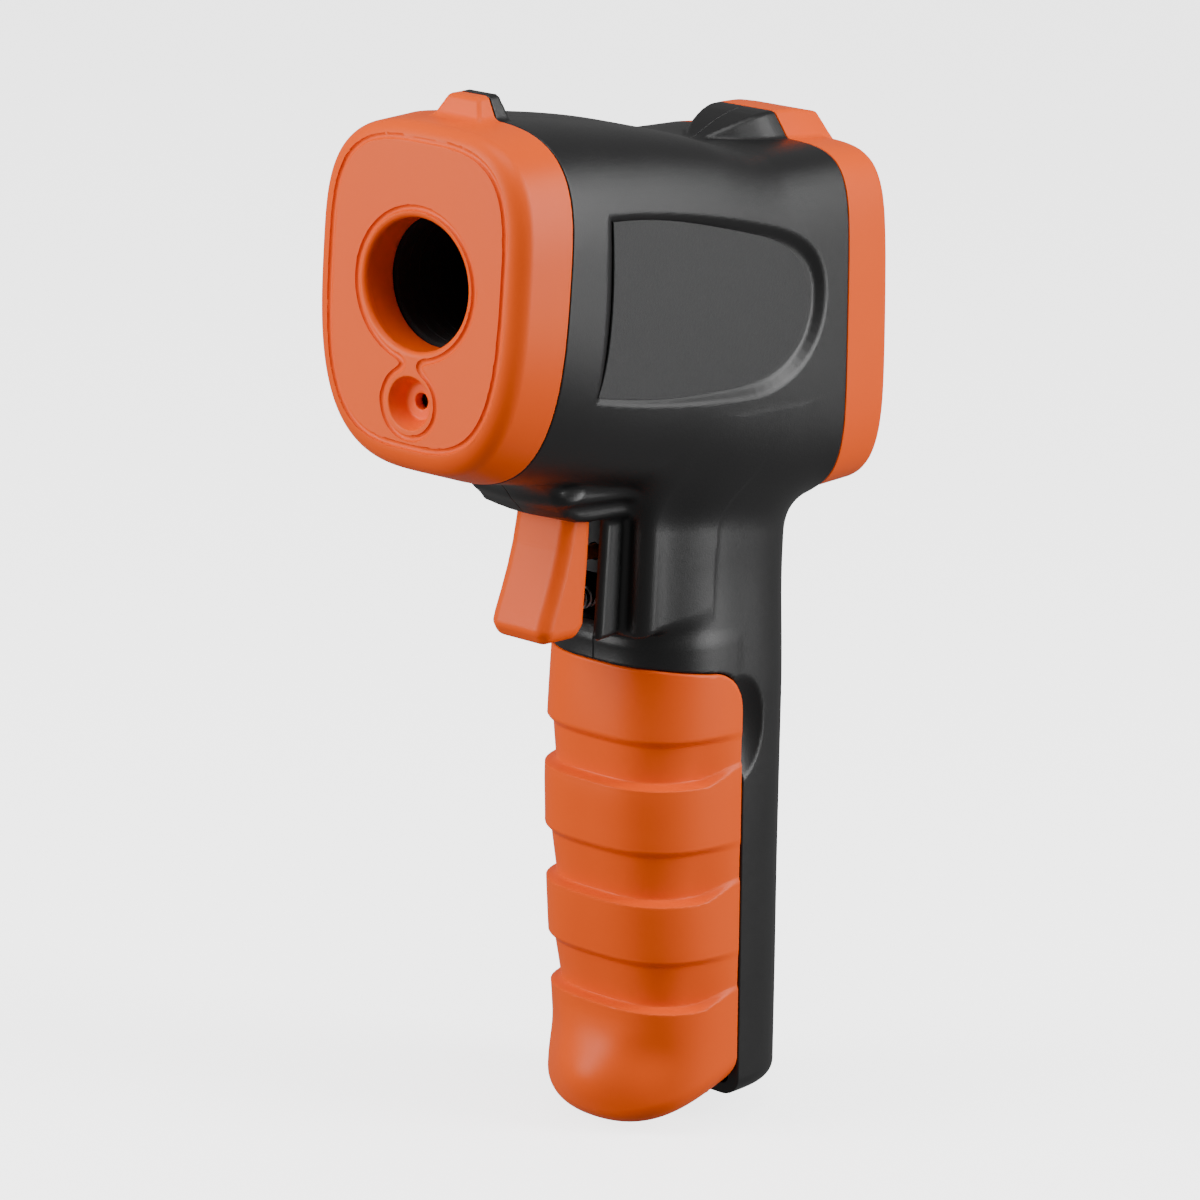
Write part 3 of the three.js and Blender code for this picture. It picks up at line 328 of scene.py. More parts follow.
# ---------------------------------------------------------------- driving sizes
BEZEL_DEPTH = 11.2
REAR_SEAM = 82.0
TILT = math.tan(math.radians(5.2))
SEAM_GAP = 0.14
WALL = 2.2
HALF_WIDTH = cad("rear_bezel")[1][0] - 0.02
FRONT_TOP, FRONT_BOTTOM, FRONT_CENTRE = 25.2, -31.8, 3.0
REAR_TOP, REAR_BOTTOM, REAR_CENTRE = 17.5, -41.5, -12.0
FRONT_SIDE_DRAFT, FRONT_DROP_DRAFT = 0.8, 3.2
GRIP_BOTTOM = -144.5
DOOR_TOP = -67.0


# ---------------------------------------------------------------- head
def along_head(y, z):
    """How far along the head a point lies, counted on planes that lean towards the rear seam's slant."""
    share = np.clip((y - BEZEL_DEPTH) / (REAR_SEAM - BEZEL_DEPTH), 0, 1)
    return y + z * TILT * share


def head_outline(x, z, g, grow=0.0):
    share = np.clip((g - BEZEL_DEPTH) / (REAR_SEAM - BEZEL_DEPTH), 0, 1)
    top = eased(g, (BEZEL_DEPTH, 20, 30, 40, 50, 57, 63, 67, REAR_SEAM),
                (FRONT_TOP, 24.5, 23.5, 22.4, 20.9, 19.2, 17.9, REAR_TOP, REAR_TOP))
    low = mix(FRONT_BOTTOM, REAR_BOTTOM, share)
    centre = mix(FRONT_CENTRE, REAR_CENTRE, share)
    upper, lower = mix(3.2, 6.0, share), mix(2.9, 4.5, share)
    return oval(x, z, HALF_WIDTH + grow, top + grow, low - grow, centre, upper, lower)


def ridge_field(x, y, z):
    """The raised spine on top, growing from a point into a flat-topped ridge."""
    crest = eased(y, (64, 66, 68.5, 71, 73.5, 76, 79, 84, 89, 92),
                  (16.6, 17.4, 18.5, 19.6, 20.5, 21.2, 21.6, 21.65, 21.1, 20.6))
    half = eased(y, (64, 67, 72, 78, 84, 92), (0.8, 1.9, 4.2, 5.6, 5.8, 5.8))
    sides = (np.abs(x) - half - (crest - z) * 0.68) * 0.83
    top = (z - crest) * 0.93
    return np.maximum(round_max(round_max(sides, top, 0.45), 64.5 - y, 0.3), 12 - z)


def sight_field(x, y, z):
    sides = (np.abs(x) - 2.9 - (28.9 - z) * 0.5) * 0.894
    front = ((7.6 - y) - (z - 25.5) * -0.42) * 0.92
    back = ((y - 13.9) - (28.9 - z) * 0.25) * 0.97
    block = round_max(sides, z - 28.5 - (y - 9) * 0.06, 0.6)
    return np.maximum(round_max(round_max(block, front, 0.7), back, 0.9), 18 - z)


def outer_head(x, y, z):
    return smooth_min(head_outline(x, z, along_head(y, z)), ridge_field(x, y, z), 0.5)


# ---------------------------------------------------------------- grip and neck
def grip_centre(z):
    return 71.6 - 0.069 * (z + 100)


def grip_field(x, y, z):
    centre = grip_centre(z)
    rear = centre + eased(z, (-145, -125, -100, -60, -40), (18.7, 18.4, 17.9, 17.7, 18.4))
    side = 16.0 - 0.9 * step(-75, -50, z)
    return oval(x, y, side, rear, centre - 18.5, centre, 3.0, 3.0)


COLLAR_LINE = [
    (13, -25), (19.0, -30.3), (22.3, -33.2), (27.6, -38.2), (29.2, -39.6), (32.0, -40.3), (62, -41.2),
    (62, -25)]


def collar_field(x, y, z):
    """The block under the head that the trigger hangs from, its nose sloping and rounded."""
    bent = z - 0.022 * x * x * step(36, 22, y)
    nose = polygon(y, bent, COLLAR_LINE)
    lower = round_max(nose, np.abs(x) - 9.2, 1.3)
    upper = round_max(np.abs(x) - 10.9, -(z + 37.2 + 0.05 * (y - 40)), 1.4)
    upper = round_max(upper, (28.5 - y + (z + 34) * 1.2) * 0.64, 2.2)
    return smooth_min(lower, np.maximum(upper, y - 62), 1.6)


def column_field(x, y, z):
    low = -(z + 61.0) + (y - 42) * 0.1
    block = round_max(np.abs(x) - 7.7, 40.6 - y, 1.1)
    return np.maximum(round_max(block, low, 1.0), y - 62)


def step_field(x, y, z):
    """The wider block behind the column, its front corners well rounded, above the foot."""
    front = 45.8 + 0.03 * (-42 - z) - y
    block = round_max(np.abs(x) - 12.4, front, 2.8)
    return np.maximum(round_max(block, -(z + 61.0 - (y - 48) * 0.25), 1.5), y - 58)


def foot_field(x, y, z):
    """The lip of the grip above the door, flaring forwards."""
    lip = oval(x, y, 13.4, 68.0, 49.3, 64.0, 2.6, 2.6)
    return round_max(lip, z + 63.0, 0.9)


def outer_body(x, y, z):
    head = outer_head(x, y, z)
    grip = np.maximum(grip_field(x, y, z), z + 30)
    grip = smooth_min(grip, np.maximum(step_field(x, y, z), z + 24), 4.0)
    body = smooth_min(head, grip, 7.5)
    body = smooth_min(body, np.maximum(column_field(x, y, z), z + 24), 1.2)
    body = smooth_min(body, foot_field(x, y, z), 3.4)
    body = smooth_min(body, np.maximum(collar_field(x, y, z), z + 24), 1.6)
    return round_max(body, GRIP_BOTTOM - z, 3.6)


# ---------------------------------------------------------------- grip door
SIDE_SEAM, SIDE_LEAN = 69.9, 0.086
DOOR_CORNER = 6.5
DOOR_HEEL_CORNER = 7.0


def door_edge(y, z, rounded=True):
    """The door's outline seen from the side: top seam, rounded corner, long side seam, rounded heel."""
    top = z - (DOOR_TOP - 0.12 * np.maximum(y - 52, 0))
    side = (y - (SIDE_SEAM - SIDE_LEAN * (z + 79))) * 0.996
    edge = round_max(top, side, DOOR_CORNER)
    if not rounded:
        return edge
    return round_max(edge, GRIP_BOTTOM - 0.4 - z + (y - 72) * 0.26, DOOR_HEEL_CORNER)


def front_line(x, z):
    """How far forward the door reaches at each height."""
    heights = (-150, -146, -142, -138, -134, -130, -126, -114, -108, -95, -88, -77, -66)
    places = (57.0, 56.2, 55.7, 55.5, 55.6, 55.4, 54.8, 52.6, 51.6, 49.9, 49.2, 49.1, 49.3)
    toe = 2.9 * np.exp(-(x / 8.0) ** 2 - ((z + 140.5) / 6.5) ** 2)
    dimple = 1.1 * np.exp(-((np.abs(x) - 11) / 3.5) ** 2 - ((z + 135) / 4.5) ** 2)
    return eased(z, heights, places) - toe + dimple


def band_dip(z, forward):
    """Three finger bands: a soft upper edge, a floor that deepens downwards and a crisp lower edge."""
    dip = np.zeros(np.broadcast(z, forward).shape)
    lift = 2.2 * (1 - step(0.0, 0.6, forward))
    for high, low in ((-79.5, -87.0), (-98.5, -107.3), (-118.0, -126.5)):
        enter = step(high + 0.6, high - 1.0, z)
        leave = step(low + lift - 0.55, low + lift + 0.55, z)
        depth = 1.0 + 0.9 * np.clip((high - z) / (high - low), 0, 1)
        dip = dip + enter * leave * depth
    return dip


def door_outer(x, y, z):
    centre = grip_centre(z)
    forward = np.clip((centre - y) / 17, 0, 1)
    dip = band_dip(z, forward) * (0.12 + 0.88 * step(0.0, 0.62, forward))
    skin = oval(x, y, 16.0, centre + 18.7, front_line(x, z), centre, 3.0, 2.9) + dip
    under = -(z + 148.6) + (y - 57) * 0.31 + 0.008 * x * x
    return round_max(skin, under * 0.95, 4.2)


def door_inner(x, y, z):
    centre = grip_centre(z)
    skin = oval(x, y, 13.9, centre + 30, front_line(x, z) + 4.4, centre, 3.0, 2.9)
    return round_max(round_max(skin, -143.0 - z, 1.0), z - DOOR_TOP + 2.0, 1.0)


def door_field(x, y, z):
    shell = np.maximum(door_outer(x, y, z), -door_inner(x, y, z))
    return round_max(shell, door_edge(y, z) + SEAM_GAP / 2, 0.4)


# ---------------------------------------------------------------- label recess and finger notch
NOSE_Z = -7.0


def side_outline(front, top, back, bottom):
    """A bowed front edge, a top that falls towards the back, a round nose and a nearly level bottom."""
    rise, fall = top - NOSE_Z, NOSE_Z - bottom
    crown = (front, top)
    shoulder = (back - 14.5, top - 0.3 * rise)
    nose = (back, NOSE_Z)
    keel = (back - 18.5, bottom)
    toe = (front - 1, bottom + 2.5)
    return np.concatenate([
        bend(crown, (front + 12, top), (back - 28, top - 0.14 * rise), shoulder),
        bend(shoulder, (back - 5.5, top - 0.42 * rise), (back, NOSE_Z + 0.4 * rise), nose),
        bend(nose, (back, NOSE_Z - 0.6 * fall), (back - 8, bottom), keel),
        bend(keel, (back - 38, bottom), (front + 10, bottom + 1), toe),
        bend(toe, (front + 2.6, NOSE_Z - 2), (front + 1, NOSE_Z + 12), crown),
    ])


RECESS_LINE = side_outline(front=19.3, top=12.7, back=76.5, bottom=-21.1)
LABEL_LINE = side_outline(front=21.4, top=11.0, back=72.6, bottom=-18.9)
LABEL_FACE = 20.55


def plane_field(line, spacing=0.25):
    """The distance to an outline on the side of the head, worked out once on a grid and looked up after."""
    low, high = line.min(0) - 4, line.max(0) + 4
    us = np.arange(low[0], high[0], spacing)
    vs = np.arange(low[1], high[1], spacing)
    table = polygon(us[:, None], vs[None, :], line)

    def look(u, v):
        a = np.clip((u - us[0]) / spacing, 0, len(us) - 1.001)
        b = np.clip((v - vs[0]) / spacing, 0, len(vs) - 1.001)
        i, j = a.astype(int), b.astype(int)
        a, b = a - i, b - j
        upper = table[i, j] * (1 - a) + table[i + 1, j] * a
        lower = table[i, j + 1] * (1 - a) + table[i + 1, j + 1] * a
        return upper * (1 - b) + lower * b
    return look


recess_edge = plane_field(RECESS_LINE)


def recess_field(x, y, z):
    """A shallow pocket whose sides slope in to a flat floor."""
    edge = recess_edge(y + 0 * z, z + 0 * y)
    floor = LABEL_FACE - 0.3
    slope = (edge + (HALF_WIDTH - np.abs(x)) * 1.6) * 0.53
    return round_max(slope, floor - np.abs(x), 0.25)


def notch_field(x, y, z):
    """The fingertip scoop beside the door's upper corner."""
    along, aside, down = (y - 68.2) / 9.4, (np.abs(x) - 21.0) / 7.8, (z + 78.8) / 12.0
    size = np.sqrt(along ** 2 + aside ** 2 + down ** 2)
    return (size - 1) * 7.8


# ---------------------------------------------------------------- body shells
SCREWS = [cad(f"body_screw_{n}") for n in range(1, 6)]
SCREW_SPOTS = [((low + high) / 2)[1:] for low, high in SCREWS]
SCREW_SEAT = -SCREWS[0][0][0]
RECESS_R = 2.5
SLOT_HALF = 6.55
SLOT_MIDDLE, SLOT_HALF_LENGTH = 37.5, 6.15
SLOT_LOW, SLOT_HIGH = -62, -30


def trigger_slot(x, y, z):
    across = np.maximum(np.abs(x) - SLOT_HALF, np.abs(y - SLOT_MIDDLE) - SLOT_HALF_LENGTH)
    return np.maximum(across, np.maximum(SLOT_LOW - z, z - SLOT_HIGH))


def shell_field(x, y, z):
    scooped = round_max(outer_body(x, y, z), -notch_field(x, y, z), 0.3)
    sight = round_max(sight_field(x, y, z), BEZEL_DEPTH - y, 0.2)
    outer = smooth_min(scooped, sight, 0.5)
    outer = round_max(outer, -recess_field(x, y, z), 0.3)
    shell = np.maximum(outer, -(scooped + WALL))
    shell = np.maximum(shell, -trigger_slot(x, y, z))
    shell = round_max(shell, BEZEL_DEPTH + SEAM_GAP - y, 0.25)
    shell = round_max(shell, (y + z * TILT - REAR_SEAM + SEAM_GAP) * 0.996, 0.25)
    return round_max(shell, SEAM_GAP - door_edge(y, z, rounded=False), 0.25)


def left_field(x, y, z):
    return round_max(shell_field(x, y, z), 0.05 - x, 0.12)


def right_field(x, y, z):
    shell = left_field(x, y, z)
    for spot_y, spot_z in SCREW_SPOTS:
        away = np.hypot(y - spot_y, z - spot_z)
        tube = np.maximum(away - RECESS_R - 1.3, SCREW_SEAT - 1.0 - x)
        tube = np.maximum(tube, x - 15)
        shell = np.minimum(shell, np.maximum(tube, outer_body(x, y, z) + 0.3))
        hole = np.where(x > SCREW_SEAT, away - RECESS_R, away - 1.2)
        shell = round_max(shell, -hole, 0.15)
    return shell


def lean(y, z):
    """Turns the grid's lines along the slanted rear seam."""
    share = np.clip((y - 55) / (REAR_SEAM - 55), 0, 1)
    beside = np.clip(1.15 - np.abs(y - SIDE_SEAM) / 18, 0, 1) * SIDE_LEAN * (-79 - z)
    below = y + 62 * TILT * share * step(-72, -62, z) + beside * step(-64, -72, z)
    return np.where(z > -62, y - z * TILT * share, below)


STEP_SIZE = 0.58


def add_shell(name, field, side):
    xs = axis_points(-0.35, 22.6, STEP_SIZE, (0.05,), 0.13, 0.3)
    ys = axis_points(10.6, 98.5, STEP_SIZE, (BEZEL_DEPTH + 0.2, SIDE_SEAM + 0.1, REAR_SEAM), 0.17, 0.45)
    zs = axis_points(-146, 30.2, STEP_SIZE, (DOOR_TOP - 0.5, GRIP_BOTTOM), 0.25, 0.9)
    if side < 0:
        return contour(name, lambda x, y, z: field(-x, y, z), -xs[::-1], ys, zs, lean)
    return contour(name, field, xs, ys, zs, lean)


# ---------------------------------------------------------------- front bezel
FACE_ROUND = 3.0
BORE_R = 10.3
LASER_Z = -18.4


def groove(distance, y, half=0.5, depth=0.45):
    return np.hypot(distance, y * half / depth) - half


def keyhole(x, z):
    rings = smooth_min(np.hypot(x, z) - 11.8, np.hypot(x, z - LASER_Z) - 5.45, 0.4)
    return smooth_min(rings, np.maximum(np.abs(x) - 1.5, np.abs(z + 11.5) - 3), 1.6)


def front_bezel_field(x, y, z):
    share = 1 - y / BEZEL_DEPTH
    draft, drop = FRONT_SIDE_DRAFT * share, FRONT_DROP_DRAFT * share
    outline = oval(x, z, HALF_WIDTH - draft, FRONT_TOP - draft, FRONT_BOTTOM + drop, FRONT_CENTRE, 3.2, 2.9)
    outer = round_max(outline, -y, FACE_ROUND)
    sight = np.maximum(sight_field(x, y, z), y - BEZEL_DEPTH - 2)
    outer = smooth_min(outer, sight, 0.9)
    hollow = round_max(outline + 2.4, 2.4 - y, 1.0)
    tube = np.hypot(x, z) - BORE_R
    laser = np.hypot(x, z - LASER_Z)
    solid = np.maximum(outer, -np.minimum(hollow, 50))
    collar = np.maximum(tube - 1.4, y - 7.0)
    solid = np.minimum(solid, np.maximum(collar, 1.0 - y))
    boss = np.maximum(laser - 4.4, y - 4.6)
    solid = np.minimum(solid, np.maximum(boss, 1.0 - y))
    solid = round_max(solid, -tube, 0.9)
    cone = round_max((laser - 4.2 + 0.42 * y) * 0.92, y - 3.0, 0.3)
    solid = round_max(solid, -cone, 0.15)
    solid = round_max(solid, -(laser - 1.3), 0.15)
    face_line = oval(x, z, 17.4, 22.3, -25.2, FRONT_CENTRE, 3.3, 3.2)
    solid = np.maximum(solid, -groove(face_line, y))
    solid = np.maximum(solid, -groove(keyhole(x, z), y))
    return round_max(solid, y - BEZEL_DEPTH, 0.25)


# ---------------------------------------------------------------- rear bezel
def rear_bezel_field(x, y, z):
    depth = display_depth(y, z)
    draft = 0.5 * np.clip(depth / FACE_DEPTH, 0, 1)
    outline = oval(x, z, HALF_WIDTH - draft, REAR_TOP - draft, REAR_BOTTOM + draft, REAR_CENTRE, 6.0, 4.5)
    bow = 0.9 * np.clip(1 - ((z + 13) / 28) ** 2, 0, 1)
    rim = (y + 0.1 * z - 93.25 - bow) * 0.995
    outer = round_max(outline, rim, 2.0)
    crest = ridge_field(x, y, z)
    crest = np.maximum(crest, (y - 90.9 - (21.5 - z) * 0.35) * 0.9)
    outer = smooth_min(outer, crest, 0.5)
    hollow = np.maximum(outline + 2.2, rim + 2.4)
    solid = np.maximum(outer, -hollow)
    solid = cut_display(solid, x, y, z)
    return round_max(solid, -depth, 0.25)


# ---------------------------------------------------------------- display side
FACE_DEPTH = 11.4
TURN_COS, TURN_SIN = math.cos(math.radians(5.2)), math.sin(math.radians(5.2))
WINDOW_HALF, WINDOW_TOP, WINDOW_LOW = 13.7, 12.5, -11.5
WINDOW_FRONT, WINDOW_BACK = 10.8, 9.6
BUTTON_R, BUTTON_PITCH, BUTTON_Z, BUTTON_PROUD = 3.7, 10.5, -30.0, 1.1
BUTTON_GAP = 0.3


def display_depth(y, z):
    return (y - REAR_SEAM) * TURN_COS + z * TURN_SIN


def display_height(y, z):
    return z * TURN_COS - (y - REAR_SEAM) * TURN_SIN


def from_display(across, depth, height):
    """A point given in the slanted rear face's own directions, as muzzle coordinates."""
    y = REAR_SEAM + depth * TURN_COS - height * TURN_SIN
    z = depth * TURN_SIN + height * TURN_COS
    return np.stack(np.broadcast_arrays(across, y, z), -1)


def plate_edge(u, v, half_u, half_v, corner):
    a, b = np.abs(u) - half_u + corner, np.abs(v) - half_v + corner
    return np.hypot(np.maximum(a, 0), np.maximum(b, 0)) + np.minimum(np.maximum(a, b), 0) - corner


def cut_display(solid, x, y, z):
    depth, height = display_depth(y, z), display_height(y, z)
    middle = (WINDOW_TOP + WINDOW_LOW) / 2
    window = plate_edge(x, height - middle, WINDOW_HALF + 0.15, (WINDOW_TOP - WINDOW_LOW) / 2 + 0.15, 2.5)
    flare = window - np.maximum(depth - WINDOW_FRONT, 0) * 0.9
    solid = round_max(solid, -flare, 0.45)
    for place in (-1, 0, 1):
        hole = np.hypot(x - place * BUTTON_PITCH, height - BUTTON_Z) - BUTTON_R - BUTTON_GAP
        solid = round_max(solid, -hole, 0.35)
    return solid


# ---------------------------------------------------------------- trigger
TRIGGER_ROUND = 1.8
TRIGGER_LINE = [
    (36.2, -34), (35.4, -38), (35.0, -42), (34.4, -46), (33.4, -50), (32.1, -54), (31.0, -57), (30.7, -58.2),
    (31.2, -58.9), (37.0, -58.9), (37.9, -58.0), (38.1, -48), (37.9, -34)]
TRIGGER_HALF = 6.0


def trigger_field(x, y, z):
    hub = np.hypot(y - 36, z + 33.5) - 3.5
    blade = polygon(y, z, TRIGGER_LINE) - TRIGGER_ROUND
    side = smooth_min(blade, hub, 1.2)
    solid = round_max(side, np.abs(x) - TRIGGER_HALF, 2.3)
    pin = np.hypot(y - 36, z + 33.5) - 1.3
    return np.maximum(solid, -pin)


# ---------------------------------------------------------------- battery tray
CELL_R, CELL_X, CELL_Y = 5.25, 6.1, 67.0
TRAY_LOW, TRAY_HIGH = cad("battery_tray")


def tray_field(x, y, z):
    middle = (TRAY_LOW + TRAY_HIGH) / 2
    half = (TRAY_HIGH - TRAY_LOW) / 2 - 0.05
    block = round_max(np.abs(x) - half[0], np.abs(y - middle[1]) - half[1], 0.6)
    block = round_max(block, np.abs(z - middle[2]) - half[2], 0.6)
    room = np.abs(z - (middle[2] - 0.4)) - (half[2] - 1.7)
    cells = np.hypot(np.abs(x) - CELL_X, y - CELL_Y) - CELL_R - 0.3
    mouth = np.maximum(np.abs(np.abs(x) - CELL_X) - CELL_R - 0.3, y - CELL_Y)
    cradle = np.maximum(np.minimum(cells, mouth), room)
    ribbon = np.maximum(np.abs(np.abs(x) - CELL_X) - 1.6, np.abs(z - middle[2]) - 14)
    slots = np.maximum(ribbon, 71.0 - y)
    return np.maximum(round_max(block, -cradle, 0.25), -slots)


# ---------------------------------------------------------------- turned and flat pieces
ROUND_SIDES = 96


def free_mesh(name, points, faces, sharp=SHARP):
    mesh = bpy.data.meshes.new(name)
    mesh.from_pydata(within(to_row(points)).tolist(), [], faces)
    mesh.validate()
    mesh.shade_smooth()
    mesh.set_sharp_from_angle(angle=sharp)
    piece = bpy.data.objects.new(name, mesh)
    bpy.context.scene.collection.objects.link(piece)
    return piece


def fillet(line, radii, steps=5):
    """Rounds the corners of a closed profile."""
    out = []
    count = len(line)
    p = [np.array(q, dtype=float) for q in line]
    for i, radius in enumerate(radii):
        here, before, after = p[i], p[i - 1], p[(i + 1) % count]
        if radius <= 0:
            out.append(tuple(here))
            continue
        a, b = before - here, after - here
        la, lb = np.linalg.norm(a), np.linalg.norm(b)
        reach = min(radius, la * 0.49, lb * 0.49)
        start, end = here + a / la * reach, here + b / lb * reach
        for n in range(steps + 1):
            t = n / steps
            out.append(tuple(start * (1 - t) ** 2 + here * 2 * t * (1 - t) + end * t * t))
    return out


def turned(name, profile, place, sides=ROUND_SIDES):
    """A closed profile of (radius, travel) turned round an axis and put in place."""
    profile = list(profile)
    count = len(profile)
    points, faces = [], []
    for i in range(sides):
        a = 2 * math.pi * i / sides
        for radius, travel in profile:
            points.append(place(radius * math.cos(a), radius * math.sin(a), travel))
    for i in range(sides):
        j = (i + 1) % sides
        for n in range(count):
            m = (n + 1) % count
            faces.append((i * count + n, j * count + n, j * count + m, i * count + m))
    piece = free_mesh(name, np.array(points), faces)
    heal(piece)
    return piece


def heal(piece):
    """Joins the points that fell together on the axis and turns every face outwards."""
    tidy = bmesh.new()
    tidy.from_mesh(piece.data)
    bmesh.ops.remove_doubles(tidy, verts=tidy.verts, dist=1e-7)
    bmesh.ops.dissolve_degenerate(tidy, edges=tidy.edges, dist=1e-8)
    bmesh.ops.recalc_face_normals(tidy, faces=tidy.faces)
    tidy.to_mesh(piece.data)
    tidy.free()
    piece.data.shade_smooth()
    piece.data.set_sharp_from_angle(angle=SHARP)


def along_y(u, v, travel):
    return (u, travel, v)


def slab(name, line, near, far, place, chamfer=0.15):
    """A flat piece cut to an outline, its edges chamfered."""
    line = np.asarray(line, dtype=float)
    middle = line.mean(0)
    size = np.abs(line - middle).max()
    inset = middle + (line - middle) * (1 - chamfer / size)
    layers = [(inset, near), (line, near + chamfer), (line, far - chamfer), (inset, far)]
    points = [place(u, v, depth) for ring, depth in layers for u, v in ring]
    count = len(line)
    faces = []
    for layer in range(len(layers) - 1):
        for i in range(count):
            j = (i + 1) % count
            low, high = layer * count, (layer + 1) * count
            faces.append((low + i, low + j, high + j, high + i))
    faces.append(tuple(range(count))[::-1])
    faces.append(tuple(range((len(layers) - 1) * count, len(layers) * count)))
    piece = free_mesh(name, np.array(points), faces)
    heal(piece)
    return piece


def round_rect(half_u, half_v, corner, middle=(0, 0), steps=6):
    line = []
    for quarter, (su, sv) in enumerate(((1, 1), (-1, 1), (-1, -1), (1, -1))):
        for n in range(steps + 1):
            a = math.pi / 2 * (quarter + n / steps)
            line.append((middle[0] + su * (half_u - corner) + corner * math.cos(a),
                         middle[1] + sv * (half_v - corner) + corner * math.sin(a)))
    return line


# ---------------------------------------------------------------- materials
class Value:
    """A shader socket that takes part in sums like a number."""

    def __init__(self, net, socket):
        self.net = net
        self.socket = socket

    def maths(self, operation, *others):
        inputs = dict(enumerate((self,) + others))
        return self.net.node("ShaderNodeMath", {"operation": operation}, inputs)

    def turned_round(self, operation, other):
        return self.net.node("ShaderNodeMath", {"operation": operation}, {0: other, 1: self})

    def __add__(self, other):
        return self.maths("ADD", other)

    __radd__ = __add__

    def __sub__(self, other):
        return self.maths("SUBTRACT", other)

    def __rsub__(self, other):
        return self.turned_round("SUBTRACT", other)

    def __mul__(self, other):
        return self.maths("MULTIPLY", other)

    __rmul__ = __mul__

    def __truediv__(self, other):
        return self.maths("DIVIDE", other)

    def __rtruediv__(self, other):
        return self.turned_round("DIVIDE", other)

    def __gt__(self, other):
        return self.maths("GREATER_THAN", other)

    def __lt__(self, other):
        return self.maths("LESS_THAN", other)

    def absolute(self):
        return self.maths("ABSOLUTE")


class Net:
    """The node tree of one material."""

    def __init__(self, name):
        self.material = bpy.data.materials.new(name)
        self.material.use_nodes = True
        self.tree = self.material.node_tree
        self.tree.nodes.clear()

    def node(self, kind, settings=None, inputs=None, output=None):
        made = self.tree.nodes.new(kind)
        for key, value in (settings or {}).items():
            setattr(made, key, value)
        for key, value in (inputs or {}).items():
            if isinstance(value, Value):
                self.tree.links.new(value.socket, made.inputs[key])
            else:
                made.inputs[key].default_value = value
        if not made.outputs:
            return made
        socket = made.outputs[output] if output is not None else next(o for o in made.outputs if o.enabled)
        return Value(self, socket)

    def place(self):
        """Object coordinates, in metres."""
        return self.node("ShaderNodeTexCoord", output="Object")

    def apart(self, vector):
        split = self.node("ShaderNodeSeparateXYZ", inputs={0: vector})
        sockets = split.socket.node.outputs
        return [Value(self, sockets[i]) for i in range(3)]

    def noise(self, scale, detail=3.0, roughness=0.55, vector=None):
        return self.node("ShaderNodeTexNoise", {}, {
            "Vector": vector or self.place(), "Scale": scale, "Detail": detail, "Roughness": roughness})

    def blend(self, factor, a, b):
        return self.node("ShaderNodeMix", {"data_type": "RGBA"}, {0: factor, 6: a, 7: b}, output=2)

    def bump(self, height, strength, distance, normal=None):
        inputs = {"Height": height, "Strength": strength, "Distance": distance}
        if normal is not None:
            inputs["Normal"] = normal
        return self.node("ShaderNodeBump", {}, inputs)

    def finish(self, inputs):
        surface = self.node("ShaderNodeBsdfPrincipled", {}, inputs)
        self.node("ShaderNodeOutputMaterial", {}, {"Surface": surface})
        return self.material


def colour(r, g, b):
    return (r, g, b, 1.0)


def moulded(name, light, dark, rough, grain, grain_scale, depth):
    """A moulded plastic with a fine spark-eroded skin and faint wear."""
    net = Net(name)
    skin = net.noise(grain_scale, 2.0, 0.6)
    cloud = net.noise(60.0, 3.0)
    fleck = net.noise(900.0, 2.0, 0.7)
    return net.finish({
        "Base Color": net.blend(cloud * 0.6 + fleck * 0.3, dark, light),
        "Roughness": rough + (cloud - 0.5) * 0.10 + (skin - 0.5) * grain,
        "Normal": net.bump(skin, 0.35, depth),
        "Specular IOR Level": 0.5,
    })


def black_plastic():
    light, dark = colour(0.0085, 0.0085, 0.0088), colour(0.0055, 0.0055, 0.0057)
    return moulded("black_moulding", light, dark, 0.40, 0.16, 3800.0, 0.00006)


def orange_plastic():
    net = Net("orange_moulding")
    skin = net.noise(3200.0, 2.0, 0.6)
    cloud = net.noise(45.0, 3.0)
    return net.finish({
        "Base Color": net.blend(cloud, colour(0.90, 0.090, 0.001), colour(0.95, 0.108, 0.002)),
        "Roughness": 0.41 + (cloud - 0.5) * 0.08 + (skin - 0.5) * 0.12,
        "Normal": net.bump(skin, 0.25, 0.00004),
        "Specular IOR Level": 0.22,
    })


def label_film():
    net = Net("label_film")
    grain = net.noise(5200.0, 2.0, 0.7)
    broad = net.noise(1500.0, 3.0, 0.6)
    return net.finish({
        "Base Color": net.blend(grain * 1.4 - 0.3, colour(0.005, 0.005, 0.0055), colour(0.012, 0.012, 0.0125)),
        "Roughness": 0.52 + (grain - 0.5) * 0.3,
        "Normal": net.bump(grain * 0.6 + broad * 0.4, 0.6, 0.00012),
    })


def metal(name, tint, shade, rough, scale=400.0):
    net = Net(name)
    haze = net.noise(scale, 4.0, 0.6)
    fine = net.noise(scale * 8, 2.0, 0.6)
    return net.finish({
        "Base Color": net.blend(haze, shade, tint),
        "Metallic": 1.0,
        "Roughness": rough + (haze - 0.5) * 0.18,
        "Normal": net.bump(fine, 0.12, 0.00003),
    })


def clear_optic():
    net = Net("window_film")
    haze = net.noise(90.0, 3.0)
    return net.finish({
        "Base Color": net.blend(haze, colour(0.93, 0.95, 0.95), colour(0.97, 0.98, 0.98)),
        "Roughness": 0.03 + haze * 0.03,
        "IOR": 1.45,
        "Transmission Weight": 1.0,
    })


